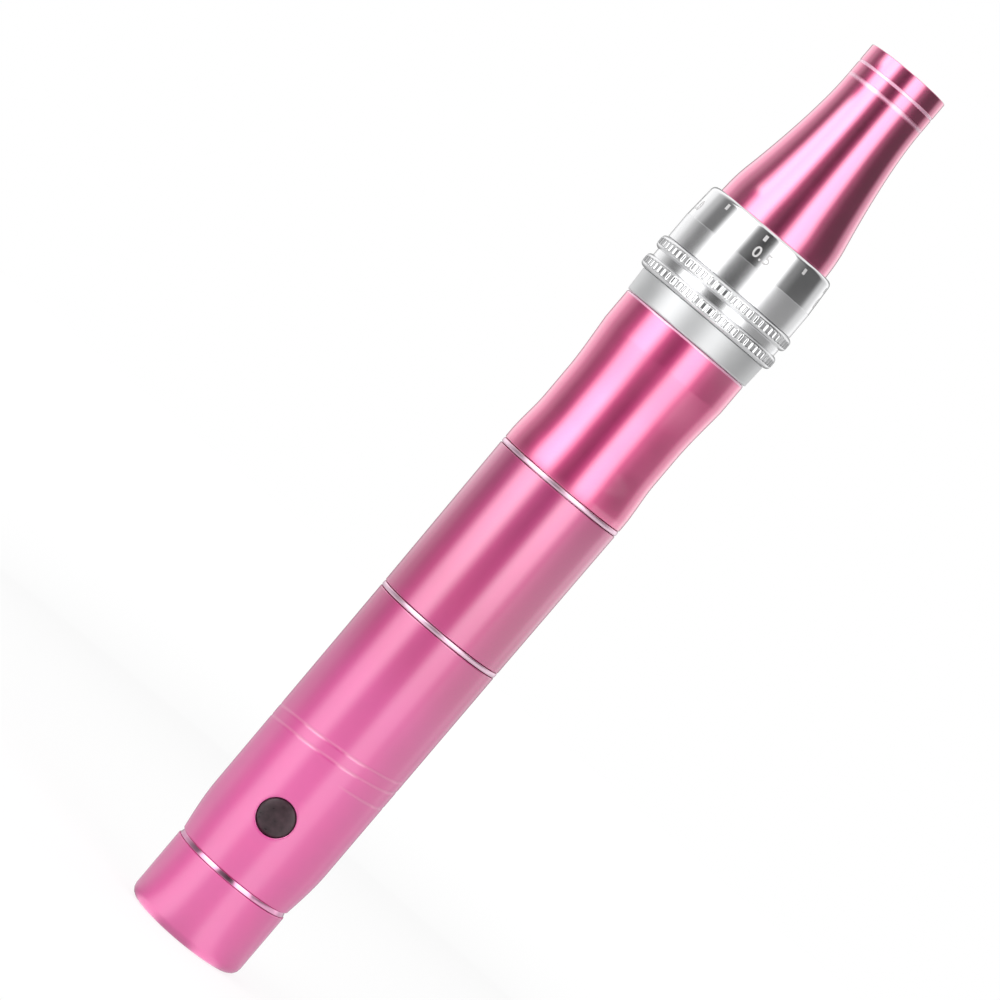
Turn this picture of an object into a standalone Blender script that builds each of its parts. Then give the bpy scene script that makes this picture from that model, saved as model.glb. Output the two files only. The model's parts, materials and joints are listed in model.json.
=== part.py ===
"""Microneedling pen, modelled upright on its tail cap.

+Z runs along the pen towards the needle tip, the origin is the centre of the
tail cap's flat end, and the button faces -Y. Sizes are in metres.
"""

import math

import bmesh
import bpy
from mathutils import Matrix, Vector

MM = 0.001
FULL_TURN = math.tau

# Clearances
SEAT_GAP = 0.2 * MM
RUN_GAP = 0.2 * MM
SOLDER_GAP = 0.1 * MM
OVERRUN = 1.0 * MM
COIL_GAP = 0.45 * MM

# Cell and the sleeve that carries it
CELL_R = 5.1 * MM
CELL_LENGTH = 43.2 * MM
CELL_EDGE = 0.4 * MM
NUB_R = 2.2 * MM
NUB_HEIGHT = 0.8 * MM
SLEEVE_WALL = 0.4 * MM
SLEEVE_FLANGE = 0.8 * MM

# Switch and button, stacked outwards from the sleeve
SWITCH_BOARD_THICKNESS = 0.6 * MM
SWITCH_BOARD_WIDTH = 6.4 * MM
SWITCH_BOARD_LENGTH = 8.2 * MM
SWITCH_SIDE = 3.4 * MM
SWITCH_HEIGHT = 0.95 * MM
SWITCH_FLOOR = 0.25 * MM
PLUNGER_R = 0.6 * MM
PLUNGER_PROUD = 0.25 * MM
BUTTON_TRAVEL = 0.4 * MM
STEM_LENGTH = 0.3 * MM
STEM_R = 0.6 * MM
BUTTON_FLANGE = 0.4 * MM
BUTTON_FLANGE_STEP = 0.6 * MM
BUTTON_LIP = 0.81 * MM
BUTTON_R = 2.52 * MM
BUTTON_SINK = 0.3 * MM
BUTTON_DOME = 0.28 * MM

# Tail cap
CAP_LENGTH = 10.2 * MM
CAP_STEP = 0.63 * MM
CAP_EDGE = 1.4 * MM
CAP_FLOOR = 1.6 * MM
CAP_SPIGOT = 5.5 * MM
CAP_SPIGOT_WALL = 1.8 * MM
CAP_O_RING_FROM = 2.5 * MM
TAIL_RING_WIDTH = 0.6 * MM
TAIL_RING_STEP = 0.78 * MM
CUP_HEIGHT = 1.8 * MM
CUP_FLOOR = 0.7 * MM
CUP_RIM = 1.2 * MM
TAIL_SPRING_LENGTH = 4.6 * MM
TAIL_SPRING_WIRE_R = 0.35 * MM
TAIL_SPRING_TURNS = 3
TAIL_SPRING_TOP_R = 2.6 * MM

# O-rings
O_RING_SECTION_R = 0.42 * MM
O_RING_GROOVE_PLAY = 0.1 * MM

# Body tubes and the rings that join them
TUBE_WALL = 1.2 * MM
TUBE_TAIL_DRAW = 0.7 * MM
TUBE_TAIL_LENGTH = 7.5 * MM
TUBE_SWELL = 0.06 * MM
MIDDLE_SWELL = 0.14 * MM
TUBE_EDGE = 0.12 * MM
JOINT_FLANGE = 0.5 * MM
JOINT_REACH = 3.7 * MM
JOINT_WALL = 1.0 * MM
JOINT_SHOULDER = 0.8 * MM

# Contacts, board and wires
CONTACT_R = 3.0 * MM
CONTACT_THICKNESS = 0.4 * MM
BOARD_THICKNESS = 0.8 * MM
BOARD_TO_FLANGE = 0.25 * MM
WIRE_R = 0.28 * MM
SWITCH_WIRE_SPREAD = 1.6 * MM
SWITCH_WIRE_SLACK = 0.4 * MM
MOTOR_WIRE_RUN = 3.6 * MM
MOTOR_WIRE_SPREAD = 2.2 * MM

# Motor
MOTOR_CLEARANCE = 0.3 * MM
MOTOR_WALL = 0.5 * MM
MOTOR_LENGTH = 18.0 * MM
MOTOR_FRONT = 1.4 * MM
MOTOR_EDGE = 0.4 * MM
BELL_THICKNESS = 1.4 * MM
BELL_FLOOR = 0.5 * MM
TERMINAL_LENGTH = 1.3 * MM
TERMINAL_WIDTH = 1.4 * MM
TERMINAL_THICKNESS = 0.5 * MM
TERMINAL_SPREAD = 3.4 * MM
MAGNET_WALL = 1.2 * MM
MAGNET_LENGTH = 13.5 * MM
AIR_GAP = 0.4 * MM
SHAFT_R = 0.75 * MM
BUSH_WALL = 0.95 * MM
MOUNT_THICKNESS = 2.0 * MM
MOUNT_TO_FLANGE = 0.35 * MM
SCREW_R = 0.75 * MM
SCREW_SPREAD = 4.3 * MM
SCREW_DEPTH = 0.8 * MM
SCREW_HEAD_R = 1.3 * MM
SCREW_HEAD_HEIGHT = 0.8 * MM

# Needle drive
STROKE = 2.5 * MM
CAM_R = 4.6 * MM
CAM_BASE = 2.4 * MM
CAM_CLEARANCE = 1.3 * MM
CAM_LIFT_GAP = 0.3 * MM
GRUB_R = 0.6 * MM
GRUB_HEIGHT = 1.2 * MM
FOLLOWER_THICKNESS = 1.4 * MM
FOLLOWER_R = 4.4 * MM
NUB_PAD_R = 0.8 * MM
NUB_PAD_HEIGHT = 0.8 * MM
NUB_PAD_OFFSET = 3.3 * MM
RETURN_SPRING_LENGTH = 8.0 * MM
RETURN_SPRING_WIRE_R = 0.3 * MM
RETURN_SPRING_TURNS = 6
ROD_R = 1.0 * MM
ROD_TAIL = 0.6 * MM
ROD_HEAD_R = 1.5 * MM
ROD_HEAD_LENGTH = 2.4 * MM
ROD_BUSH_WALL = 1.5 * MM
ROD_BUSH_LENGTH = 3.0 * MM
GUIDE_WALL = 1.3 * MM
GUIDE_FLANGE = 1.5 * MM
GUIDE_SHORT_OF_SOCKET = 1.5 * MM
KEYWAY_DEPTH = 0.7 * MM
KEY_WIDTH = 1.4 * MM
KEY_LENGTH = 2.6 * MM
KEY_FROM = 5.0 * MM

# Front housing, measured along the pen from its rear end
HOUSING_BACK_GROWTH = 0.2 * MM
WAIST_DEPTH = 0.21 * MM
WAIST_FROM = 1.1 * MM
WAIST_START = 7.6 * MM
WAIST_END = 12.2 * MM
BAND_LENGTH = 4.7 * MM
BAND_GROWTH = 0.33 * MM
BAND_STEP = 0.05 * MM
HOUSING_WALL = 1.9 * MM
HOUSING_MOUTH_WALL = 1.3 * MM

# Collar
COLLAR_SPIGOT = 5.2 * MM
COLLAR_WIDTH = 3.2 * MM
COLLAR_CHAMFER = 0.25 * MM
COLLAR_GROWTH = 0.46 * MM
COLLAR_FLARE = 0.18 * MM
COLLAR_BORE_WALL = 0.8 * MM

# Dial and its knurled grip
KNURL_TEETH = 60
KNURL_WIDTH = 2.1 * MM
KNURL_DEPTH = 0.22 * MM
KNURL_EDGE = 0.35 * MM
NECK_WIDTH = 1.0 * MM
NECK_DEPTH = 0.65 * MM
GRIP_WALL = 1.25 * MM
DIAL_LENGTH = 9.0 * MM
DIAL_WALL = 1.28 * MM
DIAL_LOWER = 3.8 * MM
DIAL_STEP = 0.06 * MM
DIAL_TAPER = 0.3 * MM
DIAL_CHAMFER = 0.7 * MM
SKIRT_STEP = 0.85 * MM
SKIRT_WALL = 1.2 * MM
WEB_FROM_SKIRT = 2.1 * MM
WEB_THICKNESS = 1.4 * MM
STEM_CLEARANCE = 0.8 * MM
O_RING_FROM_SKIRT = 0.9 * MM
CLIP_THICKNESS = 0.5 * MM
CLIP_DEPTH = 0.6 * MM
CLIP_PROUD = 0.6 * MM
CLIP_OPENING = 3.0 * MM
STEM_PAST_CLIP = 0.8 * MM

# Nose, which the dial draws in and lets out
NOSE_DRAWN_IN = 1.5 * MM
NOSE_PLAY = 0.5 * MM
CORE_THREAD_LENGTH = 3.1 * MM
CORE_THREAD_STEP = 0.67 * MM
CORE_SEAT_LENGTH = 5.8 * MM
CORE_LENGTH = 19.1 * MM
CORE_TOP_WALL = 1.1 * MM
CONE_BASE_STEP = 0.64 * MM
CONE_BASE_WALL = 1.27 * MM
CONE_BASE_DRAW = 0.17 * MM
CONE_BASE_VISIBLE = 3.0 * MM
CONE_CURVE_LENGTH = 18.7 * MM
CONE_LENGTH = 31.5 * MM
CONE_CURVE_POWER = 1.5
TIP_WALL = 0.95 * MM
TIP_GROOVE_DEPTH = 0.12 * MM
TIP_GROOVE_WIDTH = 0.45 * MM
TIP_GROOVES_FROM_END = (4.87 * MM, 2.37 * MM)
CARTRIDGE_BORE_R = 4.3 * MM
SOCKET_WALL = 0.8 * MM
SOCKET_FLOOR = 1.5 * MM
SOCKET_RECESS = 0.4 * MM
BAYONET_SLOT_WIDTH = 1.6 * MM
BAYONET_SLOT_LENGTH = 5.0 * MM

# Facets
SHELL_SIDES = 28
PIECE_SIDES = 20
SMALL_SIDES = 12
WIRE_ROUNDNESS = 1
COIL_POINTS = 8
O_RING_STEPS = 5
ARC_STEPS = 3
CURVE_STEPS = 5
TUBE_TAIL_STEPS = 4
WIRE_STEPS = 8
SHARP_ANGLE = math.radians(28)

# Radii worked out from the axis outwards
SLEEVE_BORE_R = CELL_R + SEAT_GAP
SLEEVE_R = SLEEVE_BORE_R + SLEEVE_WALL
SWITCH_BOARD_IN = SLEEVE_R + SEAT_GAP
SWITCH_BOARD_OUT = SWITCH_BOARD_IN + SWITCH_BOARD_THICKNESS
SWITCH_IN = SWITCH_BOARD_OUT + SOLDER_GAP
SWITCH_OUT = SWITCH_IN + SWITCH_HEIGHT
PLUNGER_OUT = SWITCH_OUT + PLUNGER_PROUD
STEM_IN = PLUNGER_OUT + SEAT_GAP
BUTTON_FLANGE_IN = STEM_IN + STEM_LENGTH
BUTTON_FLANGE_OUT = BUTTON_FLANGE_IN + BUTTON_FLANGE
POCKET_OUT = BUTTON_FLANGE_OUT + SEAT_GAP
BODY_R = POCKET_OUT + BUTTON_LIP
TUBE_BORE_R = BODY_R - TUBE_WALL
BUTTON_HOLE_R = BUTTON_R + RUN_GAP
BUTTON_FLANGE_R = BUTTON_R + BUTTON_FLANGE_STEP

CAP_R = BODY_R - CAP_STEP
TUBE_TAIL_R = BODY_R - TUBE_TAIL_DRAW
SPIGOT_R = TUBE_BORE_R - RUN_GAP
CAP_BORE_R = SPIGOT_R - CAP_SPIGOT_WALL
TAIL_RING_R = BODY_R - TAIL_RING_STEP
TAIL_RING_BORE_R = SPIGOT_R + RUN_GAP
CUP_R = CAP_BORE_R - RUN_GAP
CUP_BORE_R = CUP_R - CUP_RIM

JOINT_R = TUBE_BORE_R - SEAT_GAP
JOINT_BORE_R = JOINT_R - JOINT_WALL
JOINT_SHOULDER_R = JOINT_BORE_R - JOINT_SHOULDER
BOARD_R = JOINT_BORE_R - SEAT_GAP
REAR_FLANGE_R = BODY_R + TUBE_SWELL
FRONT_FLANGE_R = REAR_FLANGE_R + MIDDLE_SWELL

MOTOR_R = JOINT_BORE_R - MOTOR_CLEARANCE
MOTOR_BORE_R = MOTOR_R - MOTOR_WALL
MAGNET_R = MOTOR_BORE_R - SEAT_GAP
MAGNET_BORE_R = MAGNET_R - MAGNET_WALL
ARMATURE_R = MAGNET_BORE_R - AIR_GAP
BUSH_BORE_R = SHAFT_R + RUN_GAP
BUSH_R = BUSH_BORE_R + BUSH_WALL
MOUNT_BORE_R = BUSH_R + SEAT_GAP
SCREW_HOLE_R = SCREW_R + SEAT_GAP
FIXED_BORE_R = SHAFT_R + SOLDER_GAP

HOUSING_BACK_R = BODY_R + HOUSING_BACK_GROWTH
WAIST_R = BODY_R - WAIST_DEPTH
BAND_R = BODY_R + BAND_GROWTH
HOUSING_BORE_R = WAIST_R - HOUSING_WALL
HOUSING_MOUTH_R = BODY_R - HOUSING_MOUTH_WALL
COLLAR_SPIGOT_R = HOUSING_MOUTH_R - SEAT_GAP
COLLAR_R = BODY_R + COLLAR_GROWTH

ROD_BUSH_BORE_R = ROD_R + RUN_GAP
ROD_BUSH_R = ROD_BUSH_BORE_R + ROD_BUSH_WALL
GUIDE_BORE_R = ROD_BUSH_R + SEAT_GAP
GUIDE_R = GUIDE_BORE_R + GUIDE_WALL
CORE_BORE_R = GUIDE_R + RUN_GAP
CORE_TOP_R = CORE_BORE_R + CORE_TOP_WALL

SOCKET_R = CARTRIDGE_BORE_R + SOCKET_WALL
TIP_BORE_R = SOCKET_R + SEAT_GAP
TIP_R = TIP_BORE_R + TIP_WALL
SOCKET_FLOOR_BORE_R = ROD_HEAD_R + RUN_GAP + RUN_GAP
CONE_BASE_R = BODY_R - CONE_BASE_STEP
CONE_BASE_BORE_R = CONE_BASE_R - CONE_BASE_WALL
CORE_SEAT_R = CONE_BASE_BORE_R - SEAT_GAP
DIAL_MOUTH_R = CONE_BASE_R + RUN_GAP
DIAL_THREAD_R = DIAL_MOUTH_R - CORE_THREAD_STEP
CORE_THREAD_R = DIAL_THREAD_R - RUN_GAP
DIAL_R = DIAL_MOUTH_R + DIAL_WALL
SKIRT_R = DIAL_R - SKIRT_STEP
SKIRT_BORE_R = SKIRT_R - SKIRT_WALL
GRIP_BORE_R = SKIRT_R + SEAT_GAP
GRIP_R = GRIP_BORE_R + GRIP_WALL
COLLAR_STEM_R = SKIRT_BORE_R - STEM_CLEARANCE
WEB_BORE_R = COLLAR_STEM_R + RUN_GAP
CLIP_GROOVE_R = COLLAR_STEM_R - CLIP_DEPTH
COLLAR_BORE_R = CLIP_GROOVE_R - COLLAR_BORE_WALL

# Heights worked out from the tail upwards
Z_TAIL_RING = CAP_LENGTH + SEAT_GAP
Z_TUBE = Z_TAIL_RING + TAIL_RING_WIDTH + SEAT_GAP
Z_SPIGOT_TOP = CAP_LENGTH + CAP_SPIGOT
Z_CUP = CAP_FLOOR + SEAT_GAP
Z_TAIL_SPRING = Z_CUP + CUP_FLOOR + SOLDER_GAP
Z_CELL = Z_TAIL_SPRING + TAIL_SPRING_LENGTH + SOLDER_GAP
Z_CELL_TOP = Z_CELL + CELL_LENGTH
Z_CONTACT = Z_CELL_TOP + NUB_HEIGHT + SEAT_GAP
Z_BOARD = Z_CONTACT + CONTACT_THICKNESS + SOLDER_GAP
Z_BOARD_TOP = Z_BOARD + BOARD_THICKNESS
Z_REAR_FLANGE = Z_BOARD_TOP + SEAT_GAP + BOARD_TO_FLANGE
Z_TUBE_END = Z_REAR_FLANGE - SEAT_GAP
Z_REAR_FLANGE_TOP = Z_REAR_FLANGE + JOINT_FLANGE
Z_MIDDLE = Z_REAR_FLANGE_TOP + SEAT_GAP
Z_SLEEVE = Z_SPIGOT_TOP + SEAT_GAP + SOLDER_GAP
Z_SLEEVE_TOP = Z_REAR_FLANGE - JOINT_REACH - SEAT_GAP
Z_SWITCH_BOARD = Z_SLEEVE + SLEEVE_FLANGE + SEAT_GAP
Z_BUTTON = Z_SWITCH_BOARD + SWITCH_BOARD_LENGTH / 2

Z_TERMINAL = Z_BOARD_TOP + SOLDER_GAP + MOTOR_WIRE_RUN + SOLDER_GAP
Z_BELL = Z_TERMINAL + TERMINAL_LENGTH + SOLDER_GAP
Z_MOTOR = Z_BELL + BELL_THICKNESS + SEAT_GAP
Z_MOTOR_TOP = Z_MOTOR + MOTOR_LENGTH
Z_MAGNET = Z_MOTOR + (MOTOR_LENGTH - MOTOR_FRONT - MAGNET_LENGTH) / 2
Z_MOUNT = Z_MOTOR_TOP + SEAT_GAP
Z_MOUNT_TOP = Z_MOUNT + MOUNT_THICKNESS
Z_FRONT_FLANGE = Z_MOUNT + MOUNT_TO_FLANGE
Z_MIDDLE_END = Z_FRONT_FLANGE - SEAT_GAP
Z_FRONT_FLANGE_TOP = Z_FRONT_FLANGE + JOINT_FLANGE
Z_HOUSING = Z_FRONT_FLANGE_TOP + SEAT_GAP
Z_SCREW_HEAD = Z_MOUNT_TOP + SOLDER_GAP
Z_CAM = Z_SCREW_HEAD + SCREW_HEAD_HEIGHT + CAM_CLEARANCE
Z_CAM_LOW = Z_CAM + CAM_BASE
Z_CAM_HIGH = Z_CAM_LOW + STROKE
Z_PAD = Z_CAM_HIGH + CAM_LIFT_GAP
Z_FOLLOWER = Z_PAD + NUB_PAD_HEIGHT
Z_RETURN_SPRING = Z_FOLLOWER + FOLLOWER_THICKNESS + SOLDER_GAP
Z_GUIDE = Z_RETURN_SPRING + RETURN_SPRING_LENGTH + SOLDER_GAP
Z_HOUSING_SHOULDER = Z_GUIDE - SEAT_GAP
Z_SPIGOT = Z_GUIDE + GUIDE_FLANGE + SEAT_GAP
Z_COLLAR = Z_SPIGOT + COLLAR_SPIGOT
Z_HOUSING_END = Z_COLLAR - SEAT_GAP
Z_COLLAR_TOP = Z_COLLAR + COLLAR_WIDTH

Z_GRIP = Z_COLLAR_TOP + SEAT_GAP
Z_GRIP_TOP = Z_GRIP + KNURL_WIDTH + NECK_WIDTH + KNURL_WIDTH
Z_SKIRT = Z_GRIP + RUN_GAP
Z_DIAL = Z_GRIP_TOP + SEAT_GAP
Z_DIAL_TOP = Z_DIAL + DIAL_LENGTH
Z_WEB = Z_SKIRT + WEB_FROM_SKIRT
Z_WEB_TOP = Z_WEB + WEB_THICKNESS
Z_DIAL_O_RING = Z_SKIRT + O_RING_FROM_SKIRT
Z_CLIP_GROOVE = Z_WEB_TOP + SOLDER_GAP
Z_CLIP = Z_CLIP_GROOVE + SOLDER_GAP
Z_STEM_TOP = Z_CLIP + CLIP_THICKNESS + SOLDER_GAP + STEM_PAST_CLIP
Z_CORE = Z_STEM_TOP + NOSE_PLAY + NOSE_DRAWN_IN
Z_CORE_SEAT = Z_CORE + CORE_THREAD_LENGTH
Z_CONE = Z_CORE_SEAT + SEAT_GAP
Z_CONE_TOP = Z_CONE + CONE_LENGTH
Z_DIAL_STEP = Z_CONE - NOSE_DRAWN_IN - SEAT_GAP
Z_CORE_TOP = Z_CORE + CORE_LENGTH
Z_CONE_CURVE = Z_DIAL_TOP + CONE_BASE_VISIBLE
Z_SOCKET = Z_CORE_TOP + SEAT_GAP
Z_SOCKET_TOP = Z_CONE_TOP - SOCKET_RECESS
Z_GUIDE_TOP = Z_SOCKET - NOSE_DRAWN_IN - GUIDE_SHORT_OF_SOCKET
Z_ROD = Z_FOLLOWER - ROD_TAIL
Z_ROD_HEAD = Z_GUIDE_TOP + NOSE_PLAY + NOSE_PLAY
Z_KEY = Z_CORE + KEY_FROM


def clear_scene():
    """Removes every object of the start-up scene."""
    for old in list(bpy.data.objects):
        bpy.data.objects.remove(old, do_unlink=True)


def material(name, colour, roughness, metallic):
    """A Principled material with one colour."""
    made = bpy.data.materials.new(name)
    made.use_nodes = True
    shader = made.node_tree.nodes["Principled BSDF"]
    shader.inputs["Base Color"].default_value = (*colour, 1.0)
    shader.inputs["Roughness"].default_value = roughness
    shader.inputs["Metallic"].default_value = metallic
    return made


def axis_empty(name, height):
    """An empty on the pen's axis that carries the pieces of one moving group."""
    empty = bpy.data.objects.new(name, None)
    empty.location = (0, 0, height)
    bpy.context.scene.collection.objects.link(empty)
    return empty


def add_piece(name, mesh, finish, carrier=None, location=(0, 0, 0), turn=(0, 0, 0)):
    """Makes one named object, smooth apart from its sharp edges."""
    piece = bpy.data.objects.new(name, mesh)
    bpy.context.scene.collection.objects.link(piece)
    piece.location = location
    piece.rotation_euler = turn
    if finish is not None:
        mesh.materials.append(finish)
    if carrier is not None:
        piece.parent = carrier
        piece.location = Vector(location) - carrier.location
    mesh.shade_smooth()
    mesh.set_sharp_from_angle(angle=SHARP_ANGLE)
    return piece


def mesh_of(bm, name):
    """Turns a bmesh into a mesh with its faces pointing out."""
    bmesh.ops.recalc_face_normals(bm, faces=bm.faces)
    mesh = bpy.data.meshes.new(name)
    bm.to_mesh(mesh)
    bm.free()
    return mesh


def turned_mesh(name, outline, sides):
    """Spins a closed outline of (radius, height) points round Z.

    An outline that starts and ends on the axis makes a solid piece, and one
    that stays off it makes a ring.
    """
    bm = bmesh.new()
    corners = [bm.verts.new((radius, 0, height)) for radius, height in outline]
    edges = [bm.edges.new(pair) for pair in zip(corners, corners[1:])]
    if outline[0][0] > 0:
        edges.append(bm.edges.new((corners[-1], corners[0])))
    bmesh.ops.spin(
        bm,
        geom=corners + edges,
        cent=(0, 0, 0),
        axis=(0, 0, 1),
        angle=FULL_TURN,
        steps=sides,
        use_merge=True,
    )
    bmesh.ops.remove_doubles(bm, verts=bm.verts, dist=SOLDER_GAP / SHELL_SIDES)
    return mesh_of(bm, name)


def turned(name, outline, finish, height=0, sides=PIECE_SIDES, carrier=None):
    """A turned piece that stands at a height on the pen's axis."""
    mesh = turned_mesh(name, outline, sides)
    return add_piece(name, mesh, finish, carrier, (0, 0, height))


def block(name, size, centre, finish, carrier=None):
    """A rectangular piece with the size and centre given."""
    bm = bmesh.new()
    bmesh.ops.create_cube(bm, size=1, matrix=Matrix.Diagonal((*size, 1)))
    return add_piece(name, mesh_of(bm, name), finish, carrier, centre)


def cut(piece, cutter, operation="DIFFERENCE"):
    """Cuts a piece with a hidden cutter, or joins one to it."""
    cutter.hide_render = True
    cutter.display_type = "WIRE"
    boolean = piece.modifiers.new(cutter.name, "BOOLEAN")
    boolean.operation = operation
    boolean.solver = "EXACT"
    boolean.object = cutter
    return piece


def drill(name, radius, length, location, turn=(0, 0, 0), sides=PIECE_SIDES, carrier=None):
    """A cylinder to cut with: it starts at its location and runs along its own Z.

    It is turned by half a facet, so that its edges miss those of what it cuts.
    """
    outline = [(0, 0), (radius, 0), (radius, length), (0, length)]
    mesh = turned_mesh(name, outline, sides)
    mesh.transform(Matrix.Rotation(math.pi / sides, 4, "Z"))
    return add_piece(name, mesh, None, carrier, location, turn)


def round_corner(centre, radius, start, end, steps=ARC_STEPS):
    """Points of an arc, with its angles measured from +radius towards +height."""
    angles = [start + (end - start) * step / steps for step in range(steps + 1)]
    return [
        (centre[0] + radius * math.cos(angle), centre[1] + radius * math.sin(angle))
        for angle in angles
    ]


def eased(start, end, share):
    """A value that leaves its start and reaches its end with no slope."""
    return start + (end - start) * (1 - math.cos(math.pi * share)) / 2


def shares(steps):
    """Evenly spaced shares from 0 to 1."""
    return [step / steps for step in range(steps + 1)]


def tube(name, points, radius, finish, carrier=None):
    """A round wire along the points, closed at both ends."""
    curve = bpy.data.curves.new(name, "CURVE")
    curve.dimensions = "3D"
    curve.bevel_depth = radius
    curve.bevel_resolution = WIRE_ROUNDNESS
    curve.use_fill_caps = True
    curve.materials.append(finish)
    spline = curve.splines.new("POLY")
    spline.points.add(len(points) - 1)
    for slot, point in zip(spline.points, points):
        slot.co = (*point, 1)
    piece = bpy.data.objects.new(name, curve)
    bpy.context.scene.collection.objects.link(piece)
    if carrier is not None:
        piece.parent = carrier
        piece.location = -carrier.location
    return piece


def coil(name, base, length, radii, wire_r, turns, finish, carrier=None):
    """A compression spring: one unbroken tube whose end turns lie close.

    It stands at the height base, and its turns go from the first of the radii
    to the second.
    """
    end_rise = 2 * wire_r + COIL_GAP
    middle_rise = (length - 2 * wire_r - 2 * end_rise) / (turns - 2)
    points = []
    for step in range(turns * COIL_POINTS + 1):
        done = step / COIL_POINTS
        in_ends = min(done, 1) + max(done - turns + 1, 0)
        in_middle = min(max(done - 1, 0), turns - 2)
        level = base + wire_r + end_rise * in_ends + middle_rise * in_middle
        radius = radii[0] + (radii[1] - radii[0]) * done / turns
        angle = FULL_TURN * done
        points.append((radius * math.cos(angle), radius * math.sin(angle), level))
    spans = [
        math.dist(near, far)
        for index, near in enumerate(points)
        for far in points[index + COIL_POINTS // 2:]
    ]
    gap = min(spans) - 2 * wire_r
    print(name, "least gap to itself in mm:", round(gap / MM, 2))
    return tube(name, points, wire_r, finish, carrier)


def ring_outline(bore, radius, length, edge=0):
    """The outline of a plain ring, its outer edges chamfered if wanted."""
    if not edge:
        return [(bore, 0), (radius, 0), (radius, length), (bore, length)]
    return [
        (bore, 0),
        (radius - edge, 0),
        (radius, edge),
        (radius, length - edge),
        (radius - edge, length),
        (bore, length),
    ]


def o_ring(name, outer, height, finish, carrier=None):
    """A rubber ring whose section's lowest point is at the height given."""
    centre = (outer - O_RING_SECTION_R, O_RING_SECTION_R)
    outline = round_corner(centre, O_RING_SECTION_R, 0, FULL_TURN, O_RING_STEPS)[:-1]
    return turned(name, outline, finish, height, PIECE_SIDES, carrier)


def o_ring_groove(outer, height):
    """The four outline points of the groove for a ring of this outer radius."""
    floor = outer - 2 * O_RING_SECTION_R - O_RING_GROOVE_PLAY
    top = height + 2 * O_RING_SECTION_R + 2 * O_RING_GROOVE_PLAY
    return floor, top


def build_tail(finishes, turning, sliding):
    """The screw cap, its seal, and the cup and spring that touch the cell."""
    seal_r = TUBE_BORE_R - SOLDER_GAP
    groove = CAP_LENGTH + CAP_O_RING_FROM
    groove_r, groove_top = o_ring_groove(seal_r, groove)
    quarter = math.pi / 2
    outline = [(0, 0)]
    outline += round_corner((CAP_R - CAP_EDGE, CAP_EDGE), CAP_EDGE, -quarter, 0)
    outline += [
        (CAP_R, CAP_LENGTH - TUBE_EDGE),
        (CAP_R - TUBE_EDGE, CAP_LENGTH),
        (SPIGOT_R, CAP_LENGTH),
        (SPIGOT_R, groove),
        (groove_r, groove),
        (groove_r, groove_top),
        (SPIGOT_R, groove_top),
        (SPIGOT_R, Z_SPIGOT_TOP - TUBE_EDGE),
        (SPIGOT_R - TUBE_EDGE, Z_SPIGOT_TOP),
        (CAP_BORE_R, Z_SPIGOT_TOP),
        (CAP_BORE_R, CAP_FLOOR),
        (0, CAP_FLOOR),
    ]
    turned("tail_cap", outline, finishes["pink"], 0, SHELL_SIDES, turning)
    ring_base = groove + O_RING_GROOVE_PLAY
    o_ring("tail_o_ring", seal_r, ring_base, finishes["rubber"], turning)
    cup = [
        (0, 0),
        (CUP_R, 0),
        (CUP_R, CUP_HEIGHT),
        (CUP_BORE_R, CUP_HEIGHT),
        (CUP_BORE_R, CUP_FLOOR),
        (0, CUP_FLOOR),
    ]
    turned("tail_spring_cup", cup, finishes["brass"], Z_CUP, PIECE_SIDES, sliding)
    radii = (CUP_BORE_R - TAIL_SPRING_WIRE_R - SEAT_GAP, TAIL_SPRING_TOP_R)
    coil(
        "tail_contact_spring",
        Z_TAIL_SPRING,
        TAIL_SPRING_LENGTH,
        radii,
        TAIL_SPRING_WIRE_R,
        TAIL_SPRING_TURNS,
        finishes["steel"],
        sliding,
    )


def build_battery_tube(finishes):
    """The pink tube with the button's hole, and the polished ring at its tail."""
    ring = ring_outline(TAIL_RING_BORE_R, TAIL_RING_R, TAIL_RING_WIDTH)
    turned("tail_ring", ring, finishes["polished"], Z_TAIL_RING, SHELL_SIDES)
    length = Z_TUBE_END - Z_TUBE
    outline = [(TUBE_BORE_R, 0), (TUBE_TAIL_R - TUBE_EDGE, 0)]
    for share in shares(TUBE_TAIL_STEPS):
        radius = TUBE_TAIL_R + TUBE_TAIL_DRAW * math.sin(math.pi / 2 * share)
        outline.append((radius, TUBE_EDGE + TUBE_TAIL_LENGTH * share))
    outline += [
        (REAR_FLANGE_R, length - TUBE_EDGE),
        (REAR_FLANGE_R - TUBE_EDGE, length),
        (TUBE_BORE_R, length),
    ]
    body = turned("battery_tube", outline, finishes["pink"], Z_TUBE, SHELL_SIDES)
    outwards = (math.pi / 2, 0, 0)
    place = (0, -SWITCH_OUT, Z_BUTTON)
    reach = BODY_R + OVERRUN - SWITCH_OUT
    cut(body, drill("button_hole_cutter", BUTTON_HOLE_R, reach, place, outwards))
    pocket_r = BUTTON_FLANGE_R + RUN_GAP
    cut(body, drill("button_pocket_cutter", pocket_r, POCKET_OUT - SWITCH_OUT, place, outwards))


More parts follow.
